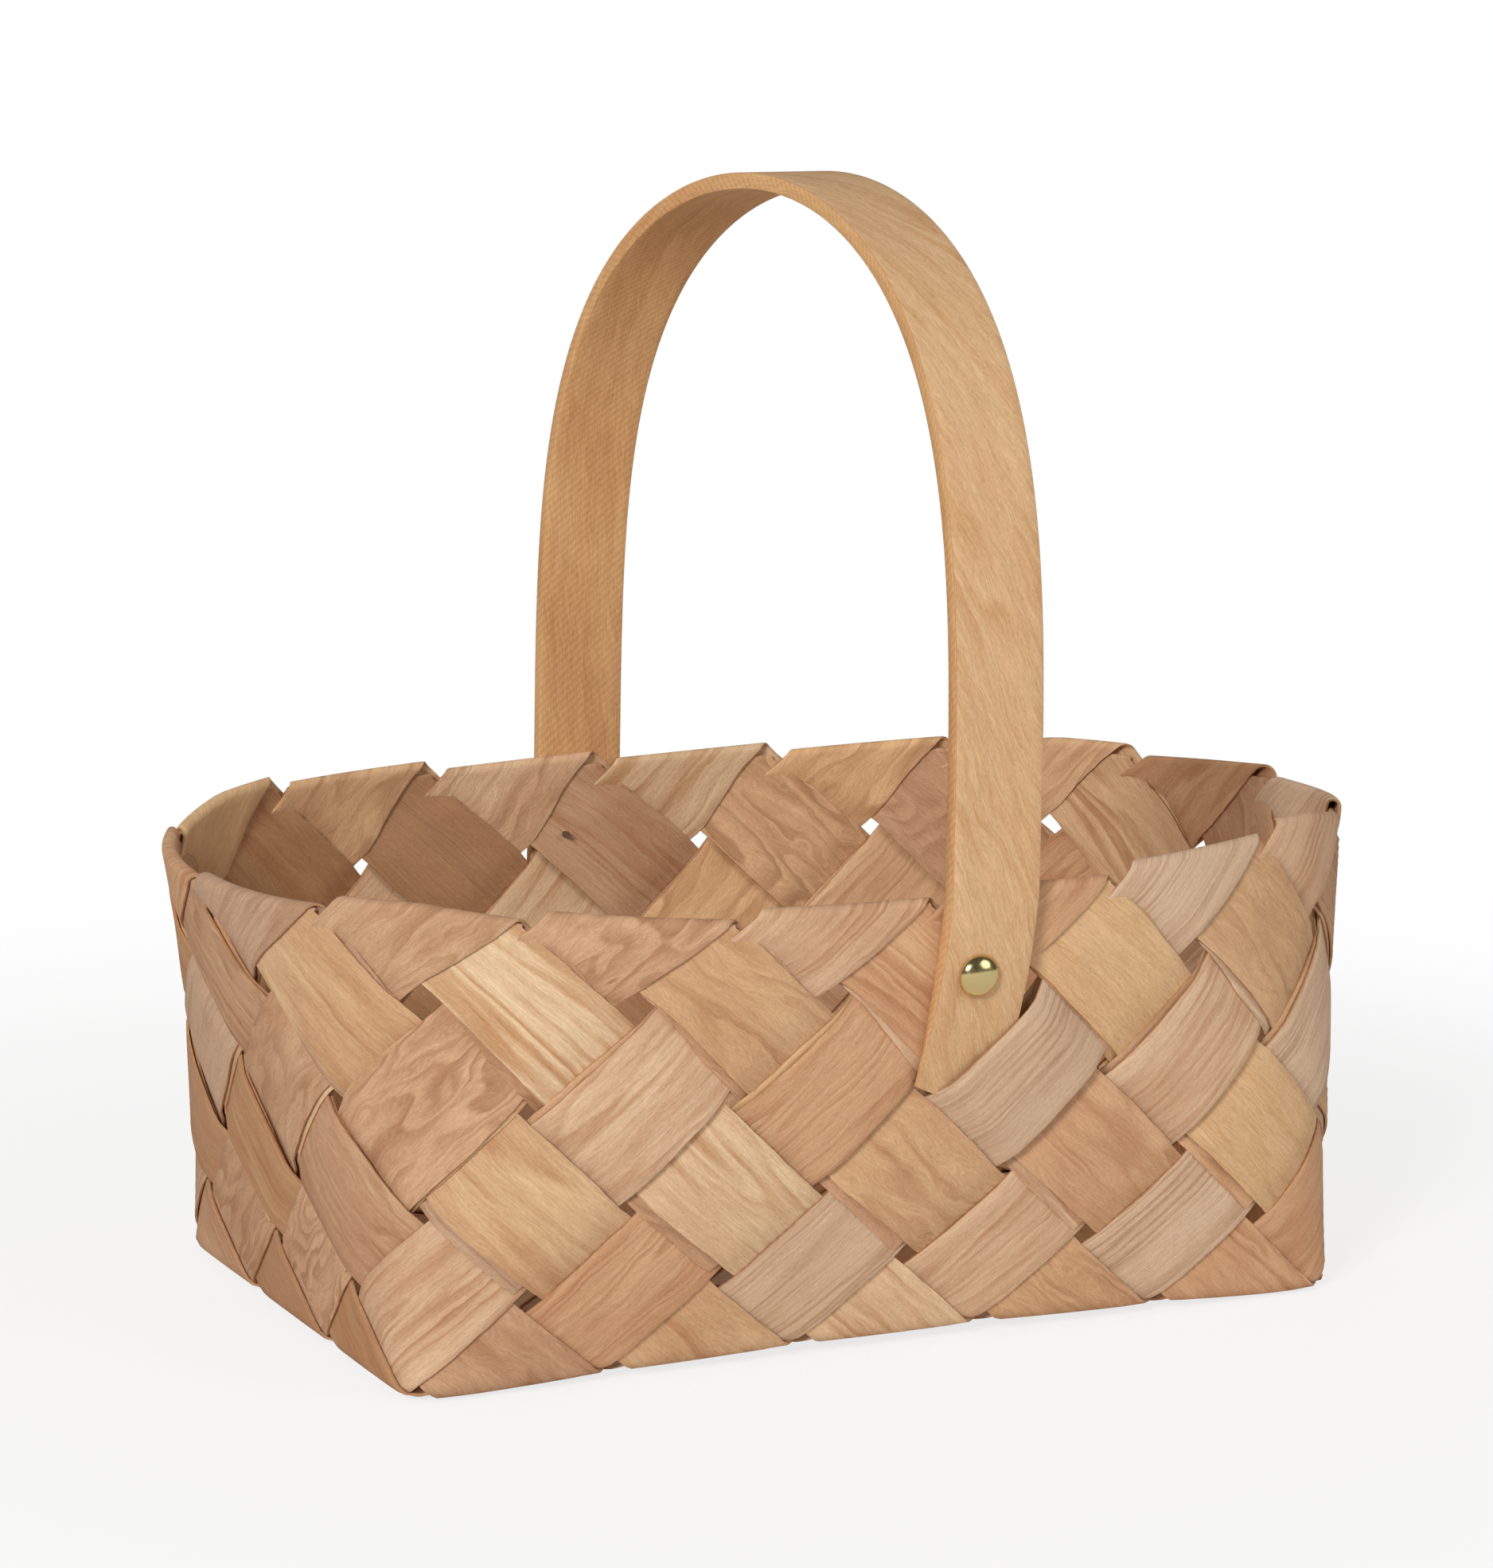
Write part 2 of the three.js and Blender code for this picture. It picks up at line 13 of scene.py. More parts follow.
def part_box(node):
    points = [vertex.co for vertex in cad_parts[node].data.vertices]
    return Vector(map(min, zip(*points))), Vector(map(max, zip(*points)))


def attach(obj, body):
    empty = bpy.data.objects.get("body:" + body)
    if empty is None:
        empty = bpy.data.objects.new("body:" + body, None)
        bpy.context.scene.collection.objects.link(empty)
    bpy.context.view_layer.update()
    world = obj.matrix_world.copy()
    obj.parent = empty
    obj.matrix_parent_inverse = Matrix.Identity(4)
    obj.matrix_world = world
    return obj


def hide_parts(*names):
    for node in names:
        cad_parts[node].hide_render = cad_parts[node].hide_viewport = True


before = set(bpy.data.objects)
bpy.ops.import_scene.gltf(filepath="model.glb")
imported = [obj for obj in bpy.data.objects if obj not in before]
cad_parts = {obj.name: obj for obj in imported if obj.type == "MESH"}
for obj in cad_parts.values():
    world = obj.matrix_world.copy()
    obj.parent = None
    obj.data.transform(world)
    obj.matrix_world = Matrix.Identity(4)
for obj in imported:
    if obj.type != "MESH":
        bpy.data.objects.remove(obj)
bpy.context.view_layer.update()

bl_info = {
    "name": "Plaited Storage Basket",
    "version": (1, 0, 0),
    "blender": (4, 5, 0),
    "location": "View3D > Sidebar > Basket",
    "description": "Builds a bias-plaited wood basket with a bent handle and domed nails",
    "category": "Add Mesh",
}

MM = 0.001
BODY = "root"


def linear(code):
    """An sRGB hex colour as linear red, green and blue."""
    parts = [int(code[i : i + 2], 16) / 255 for i in (0, 2, 4)]
    return tuple(c / 12.92 if c <= 0.04045 else ((c + 0.055) / 1.055) ** 2.4 for c in parts)


# Sizes and colours that a user would change


def length_property(name, description, mm, least=None):
    """A length for the panel, from its default and its least value in millimetres."""
    limit = {} if least is None else {"min": least * MM}
    return FloatProperty(
        name=name, description=description, default=mm * MM, precision=5, unit="LENGTH", **limit
    )


def colour_property(name, description, code):
    """A colour for the panel, from its default as sRGB hex."""
    return FloatVectorProperty(
        name=name, description=description, subtype="COLOR", default=linear(code), min=0, max=1
    )


class WeaveSizes(bpy.types.PropertyGroup):
    """Strips, lattice and wall of the basket"""

    strip_width: length_property("Strip Width", "Width of every plaited strip", 27.4, least=5)
    strip_gap: length_property(
        "Strip Gap", "Space between neighbouring strips, which leaves small square holes", 4.4, least=0.5
    )
    top_gap: length_property(
        "Top Row Gap", "The same space halfway from the rim to the first crossings", 6.8, least=0.5
    )
    fold_gap: length_property(
        "Fold Gap", "The same space between the rim's folds and between the folded-in ends", 3.0, least=0.5
    )
    strip_thickness: length_property(
        "Strip Thickness", "Thickness of the knife-cut wood", 0.7, least=0.2
    )
    layer_gap: length_property(
        "Layer Gap", "Air between strips that lie on each other", 0.2, least=0.1
    )
    cells_long: IntProperty(
        name="Cells Long", description="Whole weave cells along the base", default=5, min=2, max=9
    )
    cells_short: IntProperty(
        name="Cells Across", description="Whole weave cells across the base", default=3, min=2, max=9
    )
    wall_height: length_property("Wall Height", "From the base up to the rim's corners", 104.2)
    rim_spread_long: length_property(
        "Rim Spread at the Ends", "How much further out the rim is than the base at each short end", 21.9
    )
    rim_spread_short: length_property(
        "Rim Spread at the Sides", "How much further out the rim is than the base at each long side", 14.1
    )
    belly_short: length_property("Belly", "Outward swell of the long walls halfway up", 3.6)
    waist_long: length_property("Waist", "Inward curve of the short walls halfway up", 2.0)
    rim_sag: length_property("Rim Sag", "How much lower the rim is midway between its corners", 3.5)
    base_lift: length_property(
        "Base Lift", "How much the base's long edges rise midway between its corners", 2.3
    )
    puff: length_property(
        "Puff", "Height by which an outer strip bows out at the middle of a crossing", 0.5
    )


class HandleSizes(bpy.types.PropertyGroup):
    """The bent wood handle"""

    width: length_property("Width", "Width of the handle", 21.1)
    thickness: length_property("Thickness", "Thickness above the rim", 3.6)
    foot_thickness: length_property("Foot Thickness", "Thickness of the pared end under its strip", 1.0)
    rise: length_property("Rise", "From the rim up to the middle of the handle's thickness", 144.5)
    shift: length_property(
        "Shift", "How far both legs stand to the right of places half a turn apart", 2.1
    )
    crown_shift: length_property("Crown Shift", "How much further to the right the crown leans", 4.0)
    edge_round: length_property("Edge Rounding", "Radius of the sanded edges", 0.3)


class NailSizes(bpy.types.PropertyGroup):
    """The domed nail caps"""

    dome_diameter: length_property("Dome Diameter", "Diameter of the brass cap", 9.5)
    dome_height: length_property("Dome Height", "Height of the brass cap", 2.7)
    dome_wall: length_property("Dome Wall", "Thickness of the pressed brass", 0.7)
    nail_diameter: length_property("Nail Diameter", "Diameter of the shank", 1.6)
    nail_length: length_property("Nail Length", "From the underside of the cap to the point", 10.4)


class BasketColours(bpy.types.PropertyGroup):
    """Colours that all pieces of a kind share"""

    handle_ground: colour_property("Handle", "Ground colour of the handle", "d6ae82")
    handle_grain: colour_property("Handle Grain", "Colour of the handle's darker fibres", "c18a55")
    handle_inside: colour_property(
        "Handle Inside", "Ground colour of the handle's inner face and sides", "d8a874"
    )
    cut_edge: colour_property("Cut Edge", "Colour of the strips' cut edges", "bd9168")
    brass: colour_property("Brass", "Colour of the caps", "dcc88e")
    steel: colour_property("Steel", "Colour of the nails", "8f8d8a")
    floor: colour_property("Floor", "Colour of the floor", "f4f3f1")


# The lattice that every strip lies on: x runs along the rim in cells, z up from it and down to
# the base's edge at -2.5, and the base has cells of its own from its near left corner

WALL_ROWS = 5  # half cells from the rim down to the base's edge
BASE_SQUARENESS = 30.0  # power of the outline's curve at the base, near a rectangle
RIM_SQUARENESS = 2.5  # and at the rim, near an oval
EASE = 0.86  # power by which the one becomes the other up the wall
RING_POINTS = 1921
ROW_SHIFT = (0.0, 0.9, -0.1, -1.8, -0.9, 0.0)  # mm, each row's own height off even steps
# mm by which the folds stand off the rim's line, at each whole cell from the near left corner
RIM_UNEVEN = (-0.8, -2.4, -1.9, 0.6, 1.0, 3.5, 1.3, 3.0, -0.6, -0.8, 0.5, 1.8, 1.9, 1.7, -1.0, -0.6, -0.8)
EDGE_ROUND = 0.07  # cells over which the wall bends into the base, on each side
CORNER_FADE = 0.35  # cells over which the base takes on the walls' rounded corners
STEP = 0.012  # cells, for directions
DECIMALS = 5  # of a height in cells, for the outlines that are kept
SAME_HEIGHT = 6e-6  # cells within which a point lies on such an outline
TINY = 1e-6
NO_LENGTH = 1e-12


class Lattice:
    """Middle surface of the walls and the base, and its directions, from places in cells"""

    def __init__(self, sizes):
        self.sizes = sizes
        self.long = sizes.cells_long
        self.short = sizes.cells_short
        self.around = 2 * (self.long + self.short)
        self.pitch = sizes.strip_width + sizes.strip_gap
        self.cell = self.pitch * math.sqrt(2)
        self.half = 0.5 * sizes.strip_width / self.pitch
        self.top_half = 0.5 * (self.pitch - sizes.top_gap) / self.pitch
        self.fold_half = 0.5 * (self.pitch - sizes.fold_gap) / self.pitch
        self.layer = sizes.strip_thickness + sizes.layer_gap
        self.skin = sizes.strip_thickness / 2
        self.level = self.layer / 2 + self.skin
        self.depth = WALL_ROWS / 2
        self.rings = {}

    def ring(self, z):
        """Outline at a height as points and the length run so far, from the near side's middle."""
        key = round(z, DECIMALS)
        if key not in self.rings:
            s = self.sizes
            share = max(1 + z / self.depth, 0.0)
            waist = 4 * s.waist_long * share * (1 - share)
            a = self.long * self.cell / 2 + s.rim_spread_long * share - waist
            belly = 4 * s.belly_short * share * (1 - share)
            b = self.short * self.cell / 2 + s.rim_spread_short * share + belly
            n = 1 / (1 / BASE_SQUARENESS + (1 / RIM_SQUARENESS - 1 / BASE_SQUARENESS) * share**EASE)
            t = np.linspace(-math.pi / 2, 1.5 * math.pi, RING_POINTS)
            c, q = np.cos(t), np.sin(t)
            r = (np.abs(c / a) ** n + np.abs(q / b) ** n) ** (-1 / n)
            px, py = r * c, r * q
            run = np.concatenate([[0], np.cumsum(np.hypot(np.diff(px), np.diff(py)))])
            self.rings[key] = (px, py, run / run[-1])
        return self.rings[key]

    def along_side(self, x):
        """0 at one corner of the basket and 1 at the next."""
        u = np.mod(x - 0.5, self.around)
        v = np.mod(u, self.long + self.short)
        return np.where(v <= self.long, v / self.long, (v - self.long) / self.short)

    def plain_wall(self, x, z):
        """Middle surface of the wall without the rounding at the base's edge."""
        s = self.sizes
        x, z = np.broadcast_arrays(np.asarray(x, float), np.asarray(z, float))
        turn = np.mod((x - (self.long + 1) / 2) / self.around, 1.0)
        out = np.empty(x.shape + (3,))
        for height in np.unique(np.round(z, DECIMALS)):
            mask = np.abs(z - height) < SAME_HEIGHT
            px, py, run = self.ring(height)
            out[mask, 0] = np.interp(turn[mask], run, px)
            out[mask, 1] = np.interp(turn[mask], run, py)
        share = 1 + z / self.depth
        wave = np.sin(math.pi * self.along_side(x))
        long_side = np.mod(x - 0.5, self.long + self.short) <= self.long
        lift = np.where(long_side, wave, 0) * s.base_lift * (1 - share)
        rows = np.interp(-2 * z, range(WALL_ROWS + 1), np.array(ROW_SHIFT) * MM)
        climb = (s.wall_height - self.level - s.rim_sag * wave) * share
        uneven = np.interp(np.mod(x, self.around), range(self.around + 1), RIM_UNEVEN) * MM
        out[..., 2] = self.level + climb + lift + rows + uneven * np.clip(1 + 2 * z, 0, 1)
        return out

    def by_wall(self, x, near, right, far, left):
        """One of four values, by the wall that a place along the rim belongs to."""
        u = np.mod(x - 0.5, self.around)
        corner = self.long + self.short
        return np.select([u <= self.long, u <= corner, u <= corner + self.long], [near, right, far], left)

    def edge_place(self, x):
        """Place on the base's sharp edge, from its near left corner."""
        u = np.mod(x - 0.5, self.around)
        bx = self.by_wall(x, u, self.long, 2 * self.long + self.short - u, 0)
        by = self.by_wall(x, 0, u - self.long, self.short, self.around - u)
        return np.stack([bx, by], -1) * self.cell

    def inward(self, x):
        """A step of one cell into the base, square to its edge."""
        ix = self.by_wall(x, 0.0, -1.0, 0.0, 1.0)
        iy = self.by_wall(x, 1.0, 0.0, -1.0, 0.0)
        return np.stack([ix, iy, np.zeros_like(ix)], -1) * self.cell

    def up_wall(self, x):
        """A step of one cell up the wall from the base's edge."""
        edge = self.plain_wall(x, -self.depth)
        return (self.plain_wall(x, -self.depth + EDGE_ROUND) - edge) / EDGE_ROUND

    def rounding(self, x, turn, depth, height):
        """Moves a point that lies some cells inside the sharp edge, or above it, onto the bend
        from base to wall, at its share of that bend."""
        bend = (1 - turn) ** 2 * EDGE_ROUND - depth
        rise = turn**2 * EDGE_ROUND - height
        return bend[:, None] * self.inward(x) + rise[:, None] * self.up_wall(x)

    def wall(self, x, z):
        """Middle surface of the wall."""
        x, z = np.broadcast_arrays(np.asarray(x, float), np.asarray(z, float))
        out = self.plain_wall(x, z)
        over = z + self.depth
        near = over < EDGE_ROUND
        if near.any():
            turn = (over[near] + EDGE_ROUND) / (2 * EDGE_ROUND)
            out[near] += self.rounding(x[near], turn, 0, over[near])
        return out

    def base(self, x, y):
        """Middle surface of the base, which follows the walls' rounded corners at its edge."""
        x, y = np.asarray(x, float), np.asarray(y, float)
        centre = np.array([self.long, self.short]) * self.cell / 2
        out = np.stack([x * self.cell, y * self.cell, np.zeros_like(x)], -1)
        out[..., :2] -= centre
        out[..., 2] = self.level + self.sizes.base_lift * np.sin(math.pi * x / self.long)
        edges = (
            (y, x + 0.5),
            (self.long - x, 0.5 + self.long + y),
            (self.short - y, 0.5 + 2 * self.long + self.short - x),
            (x, 0.5 + self.around - y),
        )
        shift = np.zeros_like(out[..., :2])
        weight = np.zeros_like(x)
        for depth, along in edges:
            near = np.clip(1 - depth / CORNER_FADE, 0, 1) ** 2
            rounded = self.plain_wall(along, -self.depth)[..., :2]
            shift += near[..., None] * (rounded - (self.edge_place(along) - centre))
            weight += near
        out[..., :2] += shift / np.maximum(weight, 1)[..., None]
        for depth, along in edges:
            near = depth < EDGE_ROUND
            if near.any():
                turn = (EDGE_ROUND - depth[near]) / (2 * EDGE_ROUND)
                out[near] += self.rounding(along[near], turn, depth[near], 0)
        return out

    def wall_frame(self, x, z):
        """Points of the wall and their outward directions."""
        low = np.maximum(z - STEP, -self.depth)
        along = self.wall(x + STEP, z) - self.wall(x - STEP, z)
        up = self.wall(x, z + STEP) - self.wall(x, low)
        return self.wall(x, z), unit(np.cross(along, up))

    def base_frame(self, x, y):
        """Points of the base and their downward directions."""
        right, left = np.minimum(x + STEP, self.long), np.maximum(x - STEP, 0)
        back, front = np.minimum(y + STEP, self.short), np.maximum(y - STEP, 0)
        along = self.base(right, y) - self.base(left, y)
        across = self.base(x, back) - self.base(x, front)
        return self.base(x, y), unit(np.cross(across, along))


def unit(v):
    """Vectors at length 1."""
    return v / np.maximum(np.linalg.norm(v, axis=-1, keepdims=True), NO_LENGTH)


def smooth(v):
    """0 up to 0, 1 from 1 on, and a soft step between."""
    v = np.clip(v, 0, 1)
    return v * v * (3 - 2 * v)


# The strips. Along one, p counts its crossings from the rim, a pitch apart

# Levels of each row from the rim down, in layers off the middle surface: a runs up to the left,
# b up to the right, and the tails are their ends, folded in over the rim
BODY_LEVELS = {"a": (0.5, 1.5, -0.5, 1.5, -0.5, 0.5), "b": (1.5, -0.5, 1.5, -0.5, 0.5, -0.5)}
TAIL_LEVELS = {"a": (-0.5, -1.5, 0.5, -1.5), "b": (-1.5, 0.5, -1.5, 0.5)}
BASE_LEVEL = 0.5
OUTER_LEVEL = 1.5  # the level that the puff is given for
# Shares of the puff in each row of a wall and of a folded-in end, and on the base
WALL_BOWS = (0.9, 1.0, 1.0, 1.0, 1.35, 1.6)
TAIL_BOWS = (0.0, 1.0, 1.0, 1.0)
BASE_BOW = 0.35
SHORT_WALL_BOW = 0.3  # share of these bows in the middle of a short wall
SHORT_WALL_EASE = 0.5  # of the way from there to its corner where the share starts to grow
EASED = 0.08  # part of each half width over which a strip already changes its level

TAIL_ROWS = 3  # crossings down to which an end is folded in
TAIL_END = 0.86  # share of a half width that it goes on for
# pitches before its last crossing where its rows start to turn square to it, and by which the
# turn is longer than what is left of the strip there
TAIL_TURN = (0.6, 0.5)
TAIL_DIP = 1.8 * MM  # cut off each edge of a folded-in end beside the top row's holes
TAIL_DIP_LENGTH = 0.22  # cells up and down over which it is
TAIL_DRIFT = {"a": 1.5 * MM, "b": 3.0 * MM}  # how far it has moved aside by its last crossing
TAIL_DRIFT_POWER = 1.5
FOLD_LINE = {"a": (-1.2, -1.2), "b": (1.2, -1.1)}  # mm above the rim, at the left and right end
BODY_FADE = 0.4  # cells below the rim over which the fold's own line is lost outside
TAIL_FADE = 0.5  # and inside
CURL = {"a": 0.0, "b": 1.0}  # share of the fold's arc by which it moves on along the rim
RIM_RAMP = 0.3  # cells below the rim over which the first crossing takes its shape
FIRST_CROSSING = 0.7  # pitches down to which that holds
HOLE_PLACE = -0.5  # cells, height of the top row's holes
HOLE_BELOW = 0.8  # cells below and above them over which a strip regains its width
HOLE_ABOVE = 0.45
FAR_OPENNESS = 0.1  # how much the far wall's top row is open, against the other walls
PAST_CORNER = 0.25  # cells past its corners up to which a fold still counts as that wall's

FOLD_STEPS = 10
ACROSS = 14  # columns of faces across a strip
ALONG = 12  # rows of faces along a crossing
EDGE_INSET = 0.3 * MM  # from a strip's edge to its next column
EDGE_THIN = 0.62  # share of the thickness left at the long edges
CUT_THIN = 0.8  # and at the cut ends
EDGE_WAVES = ((38, 0.16), (13, 0.09), (5.5, 0.06))  # mm, length and height of the edges' waves
STRIP_SHARP = 48  # degrees

FOOT_CROSSING = (3.5, -1.0)  # the near foot goes under the strip that is over here
FOOT_ROOM = 4.9 * MM  # middle of the strip over a foot, off the wall's middle surface
UNDER_FOOT = (3.0, 1)  # place along the rim and row of the crossing that the near foot lies on
# The strip over a foot starts to rise this many pitches from the crossing's middle, over so many
FOOT_REACH = (0.68, 0.34)
# and loses a share of the rise across its width, from this far left of its middle, over so many
FOOT_FALL = (0.7, 0.05, 0.6)
FOOT_HALF = 0.55  # pitches from its middle to its edges, with a little to spare


def bowed(lattice, level, place, bow):
    """Height of a layer in a crossing, bowed along the strip."""
    arc = 1 - np.clip(2 * place, -1, 1) ** 2
    return level * lattice.layer * (1 + bow * arc * lattice.sizes.puff / (OUTER_LEVEL * lattice.layer))


def heights(lattice, levels, bows, p, half):
    """Height at each p: bowed in the crossings and eased from one to the next."""
    levels, bows = np.asarray(levels, float), np.asarray(bows, float)
    low = np.clip(np.floor(p).astype(int), 0, len(levels) - 1)
    high = np.clip(low + 1, 0, len(levels) - 1)
    first = bowed(lattice, levels[low], p - low, bows[low])
    second = bowed(lattice, levels[high], p - high, bows[high])
    flat = half - EASED
    return first + (second - first) * smooth((p - low - flat) / np.maximum(1 - 2 * flat, TINY))


class Leg:
    """A strip's share of one wall. Its parts are lists of rows of points across the strip, each as
    places, outward directions, lengths run along the strip and places across it"""

    def __init__(self, lattice, shares, x_edge, fx):
        self.lattice = lattice
        self.shares = shares
        self.fx = fx  # the way along the wall that it takes downwards
        self.kind = "a" if fx > 0 else "b"
        self.top = x_edge - fx * lattice.depth
        along_far = np.mod(self.top - PAST_CORNER, lattice.around) - lattice.long - lattice.short
        in_far_wall = 0 < along_far < lattice.long + 2 * PAST_CORNER
        self.openness = FAR_OPENNESS if in_far_wall else 1.0
        left, right = FOLD_LINE[self.kind]
        self.fold_line = (left + (right - left) * (shares + 1) / 2) * MM / lattice.cell
        self.radius = BODY_LEVELS[self.kind][0] * lattice.layer
        self.arc = math.pi * self.radius
        self.curl = -fx * CURL[self.kind] * self.arc / lattice.cell

    def rows(self):
        """All of it, from the cut inside to the base's edge."""
        return self.tail() + self.fold() + self.body()

    def body_half(self, z):
        """Half width in pitches: wide at the fold and narrow beside the top row's holes."""
        lattice = self.lattice
        narrow = lattice.half + (lattice.top_half - lattice.half) * self.openness
        if z > HOLE_PLACE:
            return narrow + (lattice.fold_half - narrow) * smooth((z - HOLE_PLACE) / HOLE_ABOVE)
        return narrow + (lattice.half - narrow) * smooth((HOLE_PLACE - z) / HOLE_BELOW)

    def tail_half(self, z):
        """The same for a folded-in end, which stays wide except beside the top row's holes."""
        dip = TAIL_DIP * self.openness / self.lattice.pitch
        return self.lattice.fold_half - dip * math.exp(-(((z - HOLE_PLACE) / TAIL_DIP_LENGTH) ** 2))

    def tail(self):
        """The end inside the rim, from its cut to the fold."""
        lattice, fx = self.lattice, self.fx
        levels = TAIL_LEVELS[self.kind]
        top_level = levels[0] * lattice.layer
        end = TAIL_ROWS + lattice.half * TAIL_END
        before, longer = TAIL_TURN
        made = []
        for p in np.arange(0, end, 1 / ALONG)[1:]:
            made.append((p, 1.0 - smooth((p - (TAIL_ROWS - before)) / (end - TAIL_ROWS + longer))))
        made.append((end, 0.0))
        rows = []
        for p, shear in reversed(made):
            z = -p / 2
            eta = self.shares * self.tail_half(z)
            pp = p - fx * shear * eta
            back = 1 - smooth(-z / TAIL_FADE)
            drift = TAIL_DRIFT[self.kind] * (p / TAIL_ROWS) ** TAIL_DRIFT_POWER / lattice.cell
            zz = -(pp + fx * eta) / 2 + self.fold_line * back
            x = self.top + fx * zz + eta + back * (self.curl - 2 * fx * self.fold_line) + fx * drift / 2
            zz = np.minimum(zz + fx * drift / 2, self.fold_line)
            h = heights(lattice, levels, TAIL_BOWS, pp, lattice.fold_half)
            ramp = smooth(p / (2 * RIM_RAMP))
            h = np.where(pp < FIRST_CROSSING, top_level + (h - top_level) * ramp, h)
            point, out = lattice.wall_frame(x, zz)
            run = -self.arc - lattice.pitch * pp
            rows.append((point + out * h[:, None], -out, run, lattice.pitch * eta))
        return rows

    def fold(self):
        """The bend over the rim, from inside to outside."""
        lattice = self.lattice
        eta = self.shares * self.body_half(0)
        start = self.top - self.fx * self.fold_line + eta
        rows = []
        for i in range(FOLD_STEPS + 1):
            turn = math.pi * (1 - i / FOLD_STEPS)
            x = start + self.curl * turn / math.pi
            point, out = lattice.wall_frame(x, self.fold_line)
            along = unit(lattice.wall(x + STEP, self.fold_line) - lattice.wall(x - STEP, self.fold_line))
            way = out * math.cos(turn) + unit(np.cross(out, along)) * math.sin(turn)
            run = -self.radius * turn + lattice.pitch * (-2 * self.fold_line + self.fx * eta)
            rows.append((point + way * self.radius, way, run, lattice.pitch * eta))
        return rows

    def body(self):
        """The way down the wall, from under the fold to the base's edge."""
        lattice, fx = self.lattice, self.fx
        levels = BODY_LEVELS[self.kind]
        top_level = levels[0] * lattice.layer
        bows = np.array([0.0 if self.pressed(row) else bow for row, bow in enumerate(WALL_BOWS)])
        within = np.linspace(0, 1, ALONG + 1)[:-1]
        steps = np.concatenate([-(row + within) / 2 for row in range(WALL_ROWS)])
        rows = []
        for z in (*steps[1:], -lattice.depth):
            half = self.body_half(z)
            eta = self.shares * half
            zz = z + self.fold_line * (1 - smooth(-z / BODY_FADE))
            x = self.top - fx * zz + eta
            p = -2 * zz + fx * eta
            h = heights(lattice, levels, bows * self.looseness(x), p, half)
            h = top_level + (h - top_level) * np.where(p < FIRST_CROSSING, smooth(-z / RIM_RAMP), 1)
            h = h + self.over_foot(x, zz) * np.maximum(FOOT_ROOM - h, 0)
            point, out = lattice.wall_frame(x, zz)
            rows.append((point + out * h[:, None], out, lattice.pitch * p, lattice.pitch * eta))
        return rows

    def pressed(self, row):
        """Whether the handle's foot lies on this crossing and keeps it flat."""
        half_turn = self.lattice.around / 2
        foot_x, foot_row = UNDER_FOOT
        away = np.mod(self.top + self.fx * row / 2 - foot_x, half_turn)
        return row == foot_row and min(away, half_turn - away) < TINY

    def looseness(self, x):
        """Strips of the short walls lie closer than those of the long ones."""
        lattice = self.lattice
        u = np.mod(float(np.mean(x)) - 0.5, lattice.long + lattice.short)
        from_middle = abs(u - lattice.long - lattice.short / 2) / (lattice.short / 2)
        return SHORT_WALL_BOW + (1 - SHORT_WALL_BOW) * float(smooth(from_middle - SHORT_WALL_EASE))

    def over_foot(self, x, z):
        """How much the strip over the foot gives way to it, most at its upper left edge."""
        if self.kind != "b":
            return np.zeros_like(x)
        quarter = self.lattice.around / 4
        dx = np.mod(x - FOOT_CROSSING[0] + quarter, 2 * quarter) - quarter
        dz = z - FOOT_CROSSING[1]
        reach, rise = FOOT_REACH
        share, left, fall = FOOT_FALL
        aside = dx - dz
        along = smooth((reach - np.abs(dx + dz)) / rise)
        across = 1 - share * smooth((aside + left) / fall)
        return np.where(np.abs(aside) < FOOT_HALF, along * across, 0.0)


